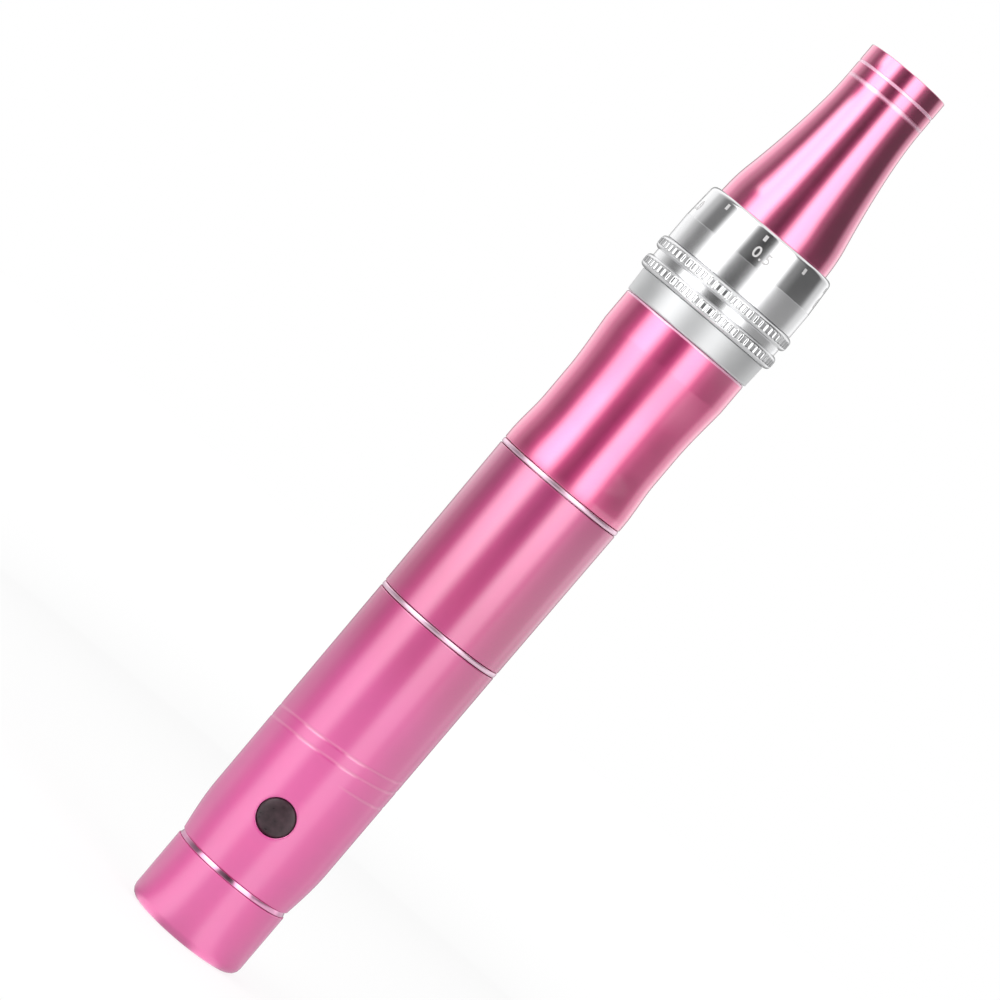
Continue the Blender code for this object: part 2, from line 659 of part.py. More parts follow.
def build_cell(finishes):
    """The cell, the flanged sleeve that centres it, and its front contact."""
    length = Z_SLEEVE_TOP - Z_SLEEVE
    middle = Z_SWITCH_BOARD + SWITCH_BOARD_LENGTH + SEAT_GAP - Z_SLEEVE
    top = length - SLEEVE_FLANGE
    outline = [
        (SLEEVE_BORE_R, 0),
        (JOINT_R, 0),
        (JOINT_R, SLEEVE_FLANGE),
        (SLEEVE_R, SLEEVE_FLANGE),
        (SLEEVE_R, middle),
        (JOINT_R, middle),
        (JOINT_R, middle + SLEEVE_FLANGE),
        (SLEEVE_R, middle + SLEEVE_FLANGE),
        (SLEEVE_R, top),
        (JOINT_R, top),
        (JOINT_R, length),
        (SLEEVE_BORE_R, length),
    ]
    sleeve = turned("battery_sleeve", outline, finishes["white_plastic"], Z_SLEEVE)
    notch_base = Z_SWITCH_BOARD + SWITCH_BOARD_LENGTH
    notch_width = 2 * (SWITCH_WIRE_SPREAD + WIRE_R + SEAT_GAP)
    notch_depth = JOINT_R + OVERRUN - SLEEVE_R - SOLDER_GAP
    notch_length = Z_SLEEVE_TOP + OVERRUN - notch_base
    centre = (0, -(SLEEVE_R + SOLDER_GAP + notch_depth / 2), notch_base + notch_length / 2)
    size = (notch_width, notch_depth, notch_length)
    cut(sleeve, block("wire_notch_cutter", size, centre, None))
    cell = [
        (0, 0),
        (CELL_R - CELL_EDGE, 0),
        (CELL_R, CELL_EDGE),
        (CELL_R, CELL_LENGTH - CELL_EDGE),
        (CELL_R - CELL_EDGE, CELL_LENGTH),
        (NUB_R, CELL_LENGTH),
        (NUB_R, CELL_LENGTH + NUB_HEIGHT),
        (0, CELL_LENGTH + NUB_HEIGHT),
    ]
    turned("battery_cell", cell, finishes["cell_wrap"], Z_CELL)
    contact = [
        (0, 0),
        (CONTACT_R - SOLDER_GAP, 0),
        (CONTACT_R, SOLDER_GAP),
        (CONTACT_R, CONTACT_THICKNESS),
        (0, CONTACT_THICKNESS),
    ]
    turned("positive_contact", contact, finishes["brass"], Z_CONTACT)
    board = [(0, 0), (BOARD_R, 0), (BOARD_R, BOARD_THICKNESS), (0, BOARD_THICKNESS)]
    turned("control_board", board, finishes["board"], Z_BOARD)


def build_switch(finishes, pressing):
    """The switch on its own board, and the button that presses it."""
    size = (SWITCH_BOARD_WIDTH, SWITCH_BOARD_THICKNESS, SWITCH_BOARD_LENGTH)
    board_y = -(SWITCH_BOARD_IN + SWITCH_BOARD_OUT) / 2
    block("switch_board", size, (0, board_y, Z_BUTTON), finishes["board"])
    size = (SWITCH_SIDE, SWITCH_HEIGHT, SWITCH_SIDE)
    centre = (0, -(SWITCH_IN + SWITCH_OUT) / 2, Z_BUTTON)
    body = block("switch_body", size, centre, finishes["steel"])
    outwards = (math.pi / 2, 0, 0)
    floor = SWITCH_IN + SWITCH_FLOOR
    well = drill(
        "switch_well_cutter",
        PLUNGER_R + RUN_GAP,
        SWITCH_OUT + OVERRUN - floor,
        (0, -floor, Z_BUTTON),
        outwards,
        SMALL_SIDES,
    )
    cut(body, well)
    bottom = floor + BUTTON_TRAVEL + SOLDER_GAP
    height = PLUNGER_OUT - bottom
    plunger = [(0, 0), (PLUNGER_R, 0), (PLUNGER_R, height), (0, height)]
    mesh = turned_mesh("switch_plunger", plunger, SMALL_SIDES)
    place = (0, -bottom, Z_BUTTON)
    add_piece("switch_plunger", mesh, finishes["black_plastic"], pressing, place, outwards)
    flange_top = STEM_LENGTH + BUTTON_FLANGE
    rim = BODY_R - BUTTON_SINK - STEM_IN
    cap = [
        (0, 0),
        (STEM_R, 0),
        (STEM_R, STEM_LENGTH),
        (BUTTON_FLANGE_R, STEM_LENGTH),
        (BUTTON_FLANGE_R, flange_top),
        (BUTTON_R, flange_top),
    ]
    for share in shares(ARC_STEPS):
        lift = math.pi / 2 * share
        cap.append((BUTTON_R * math.cos(lift), rim + BUTTON_DOME * math.sin(lift)))
    cap[-1] = (0, rim + BUTTON_DOME)
    mesh = turned_mesh("button_cap", cap, PIECE_SIDES)
    place = (0, -STEM_IN, Z_BUTTON)
    add_piece("button_cap", mesh, finishes["black_plastic"], pressing, place, outwards)
    start = Z_SWITCH_BOARD + SWITCH_BOARD_LENGTH + SOLDER_GAP
    run = Z_BOARD - SOLDER_GAP - start
    for number, side in enumerate((-1, 1), start=1):
        points = [
            (
                side * (SWITCH_WIRE_SPREAD - SWITCH_WIRE_SLACK * math.sin(math.pi * share)),
                board_y,
                start + run * share,
            )
            for share in shares(WIRE_STEPS)
        ]
        tube(f"switch_wire_{number}", points, WIRE_R, finishes["wire"])


def build_joint_ring(name, flange, flange_r, shoulder, finishes):
    """A ring threaded into two tubes, with a polished flange between them.

    Below the shoulder its bore is wide enough to hold a board or a mount.
    """
    rear = flange - JOINT_REACH
    flange_top = flange + JOINT_FLANGE
    front = flange_top + JOINT_REACH
    outline = [
        (JOINT_BORE_R, rear),
        (JOINT_R, rear),
        (JOINT_R, flange),
        (flange_r, flange),
        (flange_r, flange_top),
        (JOINT_R, flange_top),
        (JOINT_R, front),
        (JOINT_SHOULDER_R, front),
        (JOINT_SHOULDER_R, shoulder),
        (JOINT_BORE_R, shoulder),
    ]
    local = [(radius, height - rear) for radius, height in outline]
    turned(name, local, finishes["polished"], rear, SHELL_SIDES)


def build_middle(finishes):
    """The middle tube and the joining rings at its two ends."""
    build_joint_ring(
        "rear_joint_ring", Z_REAR_FLANGE, REAR_FLANGE_R, Z_BOARD_TOP + SEAT_GAP, finishes
    )
    build_joint_ring(
        "front_joint_ring", Z_FRONT_FLANGE, FRONT_FLANGE_R, Z_MOUNT_TOP + SEAT_GAP, finishes
    )
    length = Z_MIDDLE_END - Z_MIDDLE
    outline = [
        (TUBE_BORE_R, 0),
        (REAR_FLANGE_R - TUBE_EDGE, 0),
        (REAR_FLANGE_R, TUBE_EDGE),
        (FRONT_FLANGE_R, length - TUBE_EDGE),
        (FRONT_FLANGE_R - TUBE_EDGE, length),
        (TUBE_BORE_R, length),
    ]
    turned("middle_tube", outline, finishes["pink"], Z_MIDDLE, SHELL_SIDES)


def build_motor(finishes, spinning):
    """The motor, its mount and its two wires."""
    bell = [
        (0, 0),
        (MOTOR_R - MOTOR_EDGE, 0),
        (MOTOR_R, MOTOR_EDGE),
        (MOTOR_R, BELL_THICKNESS),
        (BUSH_BORE_R, BELL_THICKNESS),
        (BUSH_BORE_R, BELL_FLOOR),
        (0, BELL_FLOOR),
    ]
    turned("motor_end_bell", bell, finishes["black_plastic"], Z_BELL)
    can = [
        (MOTOR_BORE_R, 0),
        (MOTOR_R, 0),
        (MOTOR_R, MOTOR_LENGTH - MOTOR_EDGE),
        (MOTOR_R - MOTOR_EDGE, MOTOR_LENGTH),
        (MOUNT_BORE_R, MOTOR_LENGTH),
        (MOUNT_BORE_R, MOTOR_LENGTH - MOTOR_FRONT),
        (MOTOR_BORE_R, MOTOR_LENGTH - MOTOR_FRONT),
    ]
    can = turned("motor_can", can, finishes["steel"], Z_MOTOR)
    magnet = ring_outline(MAGNET_BORE_R, MAGNET_R, MAGNET_LENGTH)
    turned("motor_magnet", magnet, finishes["magnet"], Z_MAGNET)
    armature_length = MAGNET_LENGTH - OVERRUN
    armature = ring_outline(FIXED_BORE_R, ARMATURE_R, armature_length, MOTOR_EDGE)
    armature_base = Z_MAGNET + OVERRUN / 2
    turned(
        "motor_armature", armature, finishes["copper"], armature_base, PIECE_SIDES, spinning
    )
    shaft_base = Z_BELL + BELL_FLOOR + SOLDER_GAP
    shaft_length = Z_CAM_LOW - SEAT_GAP - shaft_base
    shaft = [(0, 0), (SHAFT_R, 0), (SHAFT_R, shaft_length), (0, shaft_length)]
    turned("motor_shaft", shaft, finishes["steel"], shaft_base, SMALL_SIDES, spinning)
    bush_base = Z_MOTOR_TOP - MOTOR_FRONT
    bush = ring_outline(BUSH_BORE_R, BUSH_R, Z_MOUNT + MOUNT_THICKNESS / 2 - bush_base)
    turned("motor_bush", bush, finishes["brass"], bush_base)
    plate = ring_outline(MOUNT_BORE_R, BOARD_R, MOUNT_THICKNESS)
    mount = turned("motor_mount", plate, finishes["aluminium"], Z_MOUNT)
    screw_base = Z_MOTOR_TOP - SCREW_DEPTH
    shank = Z_SCREW_HEAD - screw_base
    screw = [
        (0, 0),
        (SCREW_R, 0),
        (SCREW_R, shank),
        (SCREW_HEAD_R, shank),
        (SCREW_HEAD_R, shank + SCREW_HEAD_HEIGHT),
        (0, shank + SCREW_HEAD_HEIGHT),
    ]
    screw_mesh = turned_mesh("mount_screw", screw, SMALL_SIDES)
    hole_base = screw_base - SOLDER_GAP
    hole_length = Z_SCREW_HEAD + OVERRUN - hole_base
    wire_base = Z_BOARD_TOP + SOLDER_GAP
    for number, side in enumerate((-1, 1), start=1):
        place = (side * SCREW_SPREAD, 0, hole_base)
        hole = drill(
            f"screw_hole_{number}_cutter", SCREW_HOLE_R, hole_length, place, sides=SMALL_SIDES
        )
        cut(can, hole)
        cut(mount, hole)
        place = (side * SCREW_SPREAD, 0, screw_base)
        add_piece(f"mount_screw_{number}", screw_mesh, finishes["steel"], None, place)
        size = (TERMINAL_THICKNESS, TERMINAL_WIDTH, TERMINAL_LENGTH)
        centre = (side * TERMINAL_SPREAD, 0, Z_TERMINAL + TERMINAL_LENGTH / 2)
        block(f"motor_terminal_{number}", size, centre, finishes["brass"])
        points = [
            (
                side * eased(MOTOR_WIRE_SPREAD, TERMINAL_SPREAD, share),
                0,
                wire_base + MOTOR_WIRE_RUN * share,
            )
            for share in shares(WIRE_STEPS)
        ]
        tube(f"motor_wire_{number}", points, WIRE_R, finishes["wire"])


def build_cam(finishes, spinning):
    """The cam on the motor's shaft: its slanted end is high at +X."""
    mesh = turned_mesh("drive_cam", ring_outline(FIXED_BORE_R, CAM_R, CAM_BASE), PIECE_SIDES)
    for corner in mesh.vertices:
        if corner.co.z > CAM_BASE / 2:
            corner.co.z += STROKE * (1 + corner.co.x / CAM_R) / 2
    mesh.update()
    cam = add_piece("drive_cam", mesh, finishes["steel"], spinning, (0, 0, Z_CAM))
    sideways = (-math.pi / 2, 0, 0)
    height = Z_CAM + GRUB_HEIGHT
    hole = drill(
        "grub_hole_cutter",
        GRUB_R + SEAT_GAP,
        CAM_R + OVERRUN,
        (0, 0, height),
        sideways,
        SMALL_SIDES,
        spinning,
    )
    cut(cam, hole)
    start = SHAFT_R + SEAT_GAP
    length = CAM_R - SEAT_GAP - start
    grub = [(0, 0), (GRUB_R, 0), (GRUB_R, length), (0, length)]
    mesh = turned_mesh("cam_grub_screw", grub, SMALL_SIDES)
    place = (0, start, height)
    add_piece("cam_grub_screw", mesh, finishes["steel"], spinning, place, sideways)


def build_rod(finishes, stroking):
    """The needle rod with its follower, return spring, bushes and guide tube."""
    bore = ROD_R + SOLDER_GAP
    plate = ring_outline(bore, FOLLOWER_R, FOLLOWER_THICKNESS)
    follower = turned(
        "cam_follower", plate, finishes["white_plastic"], Z_FOLLOWER, PIECE_SIDES, stroking
    )
    pad = drill(
        "follower_pad_joiner",
        NUB_PAD_R,
        NUB_PAD_HEIGHT + FOLLOWER_THICKNESS / 2,
        (NUB_PAD_OFFSET, 0, Z_PAD),
        sides=SMALL_SIDES,
        carrier=stroking,
    )
    cut(follower, pad, "UNION")
    shank = Z_ROD_HEAD - Z_ROD
    rod = [
        (0, 0),
        (ROD_R, 0),
        (ROD_R, shank),
        (ROD_HEAD_R, shank),
        (ROD_HEAD_R, shank + ROD_HEAD_LENGTH),
        (0, shank + ROD_HEAD_LENGTH),
    ]
    turned("drive_rod", rod, finishes["steel"], Z_ROD, SMALL_SIDES, stroking)
    radius = ROD_BUSH_R - RETURN_SPRING_WIRE_R - SOLDER_GAP
    coil(
        "return_spring",
        Z_RETURN_SPRING,
        RETURN_SPRING_LENGTH,
        (radius, radius),
        RETURN_SPRING_WIRE_R,
        RETURN_SPRING_TURNS,
        finishes["steel"],
    )
    bush = ring_outline(ROD_BUSH_BORE_R, ROD_BUSH_R, ROD_BUSH_LENGTH)
    turned("rear_rod_bush", bush, finishes["brass"], Z_GUIDE)
    front = Z_GUIDE_TOP - SEAT_GAP - ROD_BUSH_LENGTH
    turned("front_rod_bush", bush, finishes["brass"], front)
    length = Z_GUIDE_TOP - Z_GUIDE
    outline = [
        (GUIDE_BORE_R, 0),
        (COLLAR_SPIGOT_R, 0),
        (COLLAR_SPIGOT_R, GUIDE_FLANGE),
        (GUIDE_R, GUIDE_FLANGE),
        (GUIDE_R, length),
        (GUIDE_BORE_R, length),
    ]
    guide = turned("guide_tube", outline, finishes["steel"], Z_GUIDE)
    keyway_base = Z_KEY - NOSE_DRAWN_IN - NOSE_PLAY
    size = (
        KEY_WIDTH + 2 * RUN_GAP,
        KEYWAY_DEPTH + OVERRUN,
        Z_GUIDE_TOP + OVERRUN - keyway_base,
    )
    centre = (0, GUIDE_R - KEYWAY_DEPTH + size[1] / 2, keyway_base + size[2] / 2)
    cut(guide, block("keyway_cutter", size, centre, None))


def build_front_housing(finishes):
    """The waisted pink grip section, which flares into a straight band."""
    length = Z_HOUSING_END - Z_HOUSING
    band = length - BAND_LENGTH
    joint_end = JOINT_REACH
    shoulder = Z_HOUSING_SHOULDER - Z_HOUSING
    outline = [(HOUSING_BACK_R - TUBE_EDGE, 0), (HOUSING_BACK_R, TUBE_EDGE)]
    for share in shares(CURVE_STEPS):
        radius = eased(HOUSING_BACK_R, WAIST_R, share)
        outline.append((radius, WAIST_FROM + (WAIST_START - WAIST_FROM) * share))
    for share in shares(CURVE_STEPS):
        radius = eased(WAIST_R, BAND_R - BAND_STEP, share)
        outline.append((radius, WAIST_END + (band - WAIST_END) * share))
    outline += [
        (BAND_R, band + BAND_STEP),
        (BAND_R, length - TUBE_EDGE),
        (BAND_R - TUBE_EDGE, length),
        (HOUSING_MOUTH_R, length),
        (HOUSING_MOUTH_R, shoulder),
        (HOUSING_BORE_R, shoulder),
        (HOUSING_BORE_R, joint_end),
        (TUBE_BORE_R, joint_end),
        (TUBE_BORE_R, 0),
    ]
    turned("front_housing", outline, finishes["pink"], Z_HOUSING, SHELL_SIDES)


def build_collar(finishes):
    """The satin collar, whose stem carries the dial, its seal and its clip."""
    seal_r = SKIRT_BORE_R - RUN_GAP
    groove_r, groove_top = o_ring_groove(seal_r, Z_DIAL_O_RING)
    clip_groove_top = Z_CLIP + CLIP_THICKNESS + SOLDER_GAP
    rim = COLLAR_R + COLLAR_FLARE
    outline = [
        (COLLAR_BORE_R, Z_SPIGOT),
        (COLLAR_SPIGOT_R, Z_SPIGOT),
        (COLLAR_SPIGOT_R, Z_COLLAR),
        (COLLAR_R - COLLAR_CHAMFER, Z_COLLAR),
        (COLLAR_R, Z_COLLAR + COLLAR_CHAMFER),
        (rim, Z_COLLAR_TOP - TUBE_EDGE),
        (rim - TUBE_EDGE, Z_COLLAR_TOP),
        (COLLAR_STEM_R, Z_COLLAR_TOP),
        (COLLAR_STEM_R, Z_DIAL_O_RING),
        (groove_r, Z_DIAL_O_RING),
        (groove_r, groove_top),
        (COLLAR_STEM_R, groove_top),
        (COLLAR_STEM_R, Z_CLIP_GROOVE),
        (CLIP_GROOVE_R, Z_CLIP_GROOVE),
        (CLIP_GROOVE_R, clip_groove_top),
        (COLLAR_STEM_R, clip_groove_top),
        (COLLAR_STEM_R, Z_STEM_TOP),
        (COLLAR_BORE_R, Z_STEM_TOP),
    ]
    local = [(radius, height - Z_SPIGOT) for radius, height in outline]
    turned("front_collar", local, finishes["aluminium"], Z_SPIGOT, SHELL_SIDES)
    ring_base = Z_DIAL_O_RING + O_RING_GROOVE_PLAY
    o_ring("dial_o_ring", seal_r, ring_base, finishes["rubber"])
    clip_r = COLLAR_STEM_R + CLIP_PROUD
    clip = ring_outline(CLIP_GROOVE_R + SEAT_GAP, clip_r, CLIP_THICKNESS)
    clip = turned("dial_circlip", clip, finishes["steel"], Z_CLIP)
    size = (CLIP_OPENING, clip_r + OVERRUN, CLIP_THICKNESS + 2 * OVERRUN)
    centre = (0, size[1] / 2, Z_CLIP + CLIP_THICKNESS / 2)
    cut(clip, block("clip_opening_cutter", size, centre, None))


def build_dial(finishes, turning):
    """The depth dial, and the knurled grip pressed on its skirt."""
    top_r = DIAL_R - DIAL_STEP - DIAL_TAPER
    rounding = (top_r - DIAL_CHAMFER, Z_DIAL_TOP - DIAL_CHAMFER)
    outline = [
        (SKIRT_BORE_R, Z_SKIRT),
        (SKIRT_R, Z_SKIRT),
        (SKIRT_R, Z_DIAL),
        (DIAL_R - TUBE_EDGE, Z_DIAL),
        (DIAL_R, Z_DIAL + TUBE_EDGE),
        (DIAL_R, Z_DIAL + DIAL_LOWER),
        (DIAL_R - DIAL_STEP, Z_DIAL + DIAL_LOWER + DIAL_STEP),
    ]
    outline += round_corner(rounding, DIAL_CHAMFER, 0, math.pi / 2)
    outline += [
        (DIAL_MOUTH_R, Z_DIAL_TOP),
        (DIAL_MOUTH_R, Z_DIAL_STEP),
        (DIAL_THREAD_R, Z_DIAL_STEP),
        (DIAL_THREAD_R, Z_WEB_TOP),
        (WEB_BORE_R, Z_WEB_TOP),
        (WEB_BORE_R, Z_WEB),
        (SKIRT_BORE_R, Z_WEB),
    ]
    local = [(radius, height - Z_SKIRT) for radius, height in outline]
    turned("depth_dial", local, finishes["chrome"], Z_SKIRT, SHELL_SIDES, turning)
    upper = KNURL_WIDTH + NECK_WIDTH
    top = upper + KNURL_WIDTH
    neck_r = GRIP_R - NECK_DEPTH
    grip = [
        (GRIP_BORE_R, 0),
        (GRIP_R - KNURL_EDGE, 0),
        (GRIP_R, KNURL_EDGE),
        (GRIP_R, KNURL_WIDTH - KNURL_EDGE),
        (neck_r, KNURL_WIDTH),
        (neck_r, upper),
        (GRIP_R, upper + KNURL_EDGE),
        (GRIP_R, top - KNURL_EDGE),
        (GRIP_R - KNURL_EDGE, top),
        (GRIP_BORE_R, top),
    ]
    mesh = turned_mesh("knurled_grip", grip, 2 * KNURL_TEETH)
    for corner in mesh.vertices:
        across = math.hypot(corner.co.x, corner.co.y)
        turns = math.atan2(corner.co.y, corner.co.x) / FULL_TURN
        valley = round(turns * 2 * KNURL_TEETH) % 2
        if valley and across > GRIP_R - KNURL_EDGE / 2:
            corner.co.x *= 1 - KNURL_DEPTH / across
            corner.co.y *= 1 - KNURL_DEPTH / across
    mesh.update()
    add_piece("knurled_grip", mesh, finishes["chrome"], turning, (0, 0, Z_GRIP))


def cone_outline():
    """The nose cone's outline: a hidden skirt, a concave taper and two grooves."""
    base_r = CONE_BASE_R - CONE_BASE_DRAW
    outline = [
        (CONE_BASE_R - TUBE_EDGE, Z_CONE),
        (CONE_BASE_R, Z_CONE + TUBE_EDGE),
        (CONE_BASE_R, Z_DIAL_TOP),
    ]
    for share in shares(CURVE_STEPS):
        radius = TIP_R + (base_r - TIP_R) * (1 - share) ** CONE_CURVE_POWER
        outline.append((radius, Z_CONE_CURVE + CONE_CURVE_LENGTH * share))
    for from_end in TIP_GROOVES_FROM_END:
        start = Z_CONE_TOP - from_end - TIP_GROOVE_WIDTH / 2
        outline += [
            (TIP_R, start),
            (TIP_R - TIP_GROOVE_DEPTH, start + TIP_GROOVE_DEPTH),
            (TIP_R - TIP_GROOVE_DEPTH, start + TIP_GROOVE_WIDTH - TIP_GROOVE_DEPTH),
            (TIP_R, start + TIP_GROOVE_WIDTH),
        ]
    outline += [
        (TIP_R, Z_CONE_TOP - TUBE_EDGE),
        (TIP_R - TUBE_EDGE, Z_CONE_TOP),
        (TIP_BORE_R, Z_CONE_TOP),
        (TIP_BORE_R, Z_SOCKET + SOCKET_FLOOR),
        (CORE_TOP_R + SEAT_GAP, Z_CORE_TOP),
        (CONE_BASE_BORE_R, Z_CORE_SEAT + CORE_SEAT_LENGTH),
        (CONE_BASE_BORE_R, Z_CONE),
    ]
    return [(radius, height - Z_CONE) for radius, height in outline]


def build_nose(finishes, sliding):
    """The nose cone with its threaded core, key and cartridge socket."""
    turned("nose_cone", cone_outline(), finishes["pink"], Z_CONE, SHELL_SIDES, sliding)
    outline = [
        (CORE_BORE_R, 0),
        (CORE_THREAD_R, 0),
        (CORE_THREAD_R, CORE_THREAD_LENGTH),
        (CORE_SEAT_R, CORE_THREAD_LENGTH),
        (CORE_SEAT_R, CORE_THREAD_LENGTH + CORE_SEAT_LENGTH),
        (CORE_TOP_R, CORE_LENGTH),
        (CORE_BORE_R, CORE_LENGTH),
    ]
    core = turned("nose_core", outline, finishes["aluminium"], Z_CORE, carrier=sliding)
    inner = GUIDE_R - KEYWAY_DEPTH + RUN_GAP
    size = (KEY_WIDTH, CORE_TOP_R - inner, KEY_LENGTH)
    centre = (0, (CORE_TOP_R + inner) / 2, Z_KEY + KEY_LENGTH / 2)
    block("nose_key", size, centre, finishes["steel"], sliding)
    around = 2 * SOLDER_GAP
    slot = (size[0] + around, size[1] + around, size[2] + around)
    cut(core, block("key_slot_cutter", slot, centre, None, sliding))
    length = Z_SOCKET_TOP - Z_SOCKET
    outline = [
        (SOCKET_FLOOR_BORE_R, 0),
        (SOCKET_R, 0),
        (SOCKET_R, length),
        (CARTRIDGE_BORE_R, length),
        (CARTRIDGE_BORE_R, SOCKET_FLOOR),
        (SOCKET_FLOOR_BORE_R, SOCKET_FLOOR),
    ]
    socket = turned(
        "cartridge_socket", outline, finishes["white_plastic"], Z_SOCKET, carrier=sliding
    )
    size = (2 * (SOCKET_R + OVERRUN), BAYONET_SLOT_WIDTH, BAYONET_SLOT_LENGTH + OVERRUN)
    centre = (0, 0, Z_SOCKET_TOP - BAYONET_SLOT_LENGTH + size[2] / 2)
    cut(socket, block("bayonet_slot_cutter", size, centre, None, sliding))


def make_finishes():
    """Every finish of the pen, by name."""
    return {
        "pink": material("pink_anodised", (0.78, 0.18, 0.42), 0.25, 1.0),
        "polished": material("polished_aluminium", (0.9, 0.88, 0.89), 0.08, 1.0),
        "aluminium": material("satin_aluminium", (0.78, 0.79, 0.8), 0.35, 1.0),
        "chrome": material("chrome", (0.8, 0.81, 0.82), 0.06, 1.0),
        "steel": material("steel", (0.6, 0.61, 0.63), 0.25, 1.0),
        "brass": material("brass", (0.8, 0.62, 0.3), 0.3, 1.0),
        "copper": material("copper_winding", (0.72, 0.36, 0.2), 0.35, 1.0),
        "magnet": material("magnet", (0.12, 0.12, 0.13), 0.5, 0.6),
        "board": material("circuit_board", (0.05, 0.25, 0.12), 0.45, 0.0),
        "cell_wrap": material("cell_wrap", (0.1, 0.3, 0.62), 0.35, 0.0),
        "wire": material("wire", (0.6, 0.05, 0.04), 0.4, 0.0),
        "rubber": material("rubber", (0.03, 0.03, 0.03), 0.7, 0.0),
        "white_plastic": material("white_plastic", (0.85, 0.85, 0.83), 0.4, 0.0),
        "black_plastic": material("black_plastic", (0.03, 0.03, 0.035), 0.35, 0.0),
    }


def main():
    """Builds the pen, each moving group on an empty on its joint's axis."""
    clear_scene()
    finishes = make_finishes()
    cap_sliding = axis_empty("cap_slide_axis", CAP_LENGTH)
    cap_turning = axis_empty("cap_turn_axis", CAP_LENGTH)
    spinning = axis_empty("motor_axis", Z_CAM)
    stroking = axis_empty("rod_axis", Z_FOLLOWER)
    dial_turning = axis_empty("dial_axis", Z_DIAL)
    nose_sliding = axis_empty("nose_axis", Z_CONE)
    pressing = axis_empty("button_axis", Z_BUTTON)
    build_tail(finishes, cap_turning, cap_sliding)
    build_battery_tube(finishes)
    build_cell(finishes)
    build_switch(finishes, pressing)
    build_middle(finishes)
    build_motor(finishes, spinning)
    build_cam(finishes, spinning)
    build_rod(finishes, stroking)
    build_front_housing(finishes)
    build_collar(finishes)
    build_dial(finishes, dial_turning)
    build_nose(finishes, nose_sliding)
    print("length in mm:", round(Z_CONE_TOP / MM, 3), "body radius in mm:", round(BODY_R / MM, 3))


main()
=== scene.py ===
"""The looks of the microneedling pen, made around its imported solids.

Sizes are in metres. +Z runs along the pen towards the needle tip, the button
faces -Y, and angles round the pen are measured from the button towards +X.
"""

import json
import logging
import math
from collections.abc import Callable, Sequence
from dataclasses import dataclass, replace
from enum import Enum
from functools import lru_cache

import bmesh
import bpy
from mathutils import Matrix, Vector


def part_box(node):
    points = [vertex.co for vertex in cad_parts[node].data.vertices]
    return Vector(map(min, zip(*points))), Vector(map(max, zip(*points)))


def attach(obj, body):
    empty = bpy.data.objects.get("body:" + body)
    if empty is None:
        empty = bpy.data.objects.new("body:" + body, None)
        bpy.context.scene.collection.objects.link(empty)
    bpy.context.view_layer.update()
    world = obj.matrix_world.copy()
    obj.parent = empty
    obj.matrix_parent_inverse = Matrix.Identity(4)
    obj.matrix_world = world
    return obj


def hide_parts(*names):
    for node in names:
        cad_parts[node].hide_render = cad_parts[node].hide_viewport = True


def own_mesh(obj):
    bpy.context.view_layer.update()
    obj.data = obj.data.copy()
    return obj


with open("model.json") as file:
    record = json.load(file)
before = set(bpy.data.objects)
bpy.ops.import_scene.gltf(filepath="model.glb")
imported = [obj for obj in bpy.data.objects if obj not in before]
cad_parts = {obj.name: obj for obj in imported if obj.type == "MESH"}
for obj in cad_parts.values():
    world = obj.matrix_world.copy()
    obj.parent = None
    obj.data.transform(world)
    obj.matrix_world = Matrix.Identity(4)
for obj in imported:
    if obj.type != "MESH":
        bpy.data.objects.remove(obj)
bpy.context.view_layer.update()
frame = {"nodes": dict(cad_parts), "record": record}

LOG = logging.getLogger("microneedling_pen")
MM = 0.001
WELD = 0.001 * MM
SHELL_SIDES = 192
INNER_SIDES = 96
SECTORS = 8
FILLET_STEPS = 4
ROUND_PROFILE = 0.5
SHARP_ANGLE = math.radians(40)
QUARTER_TURN = math.pi / 2
# Noise values mostly stay between these two.
USUAL_NOISE = (0.25, 0.75)
THREAD_WIDTH_SHARE = 0.8
THREAD_FADE = 0.25

BMesh = bmesh.types.BMesh
Vert = bmesh.types.BMVert
Edge = bmesh.types.BMEdge
Socket = bpy.types.NodeSocket
Colour = tuple[float, float, float]
Stops = Sequence[tuple[float, float]]
Value = Socket | Sequence[float] | float
Radius = Callable[[float], float] | float


class Body(Enum):
    """The bodies that finished pieces move with."""

    PEN = "body"
    PLUNGER = "plunger"
    DIAL = "dial"
    NOSE = "nose"
    BUTTON = "button"
    CAP = "cap"


class Slot(Enum):
    """The material slots of the record."""

    PINK = "pink_anodised"
    POLISHED = "polished_aluminium"
    SATIN = "satin_aluminium"
    CHROME = "chrome"
    STEEL = "steel"
    BRASS = "brass"
    COPPER = "copper_winding"
    MAGNET = "magnet"
    BOARD = "circuit_board"
    CELL_WRAP = "cell_wrap"
    WIRE = "wire"
    RUBBER = "rubber"
    WHITE_PLASTIC = "white_plastic"
    BLACK_PLASTIC = "black_plastic"


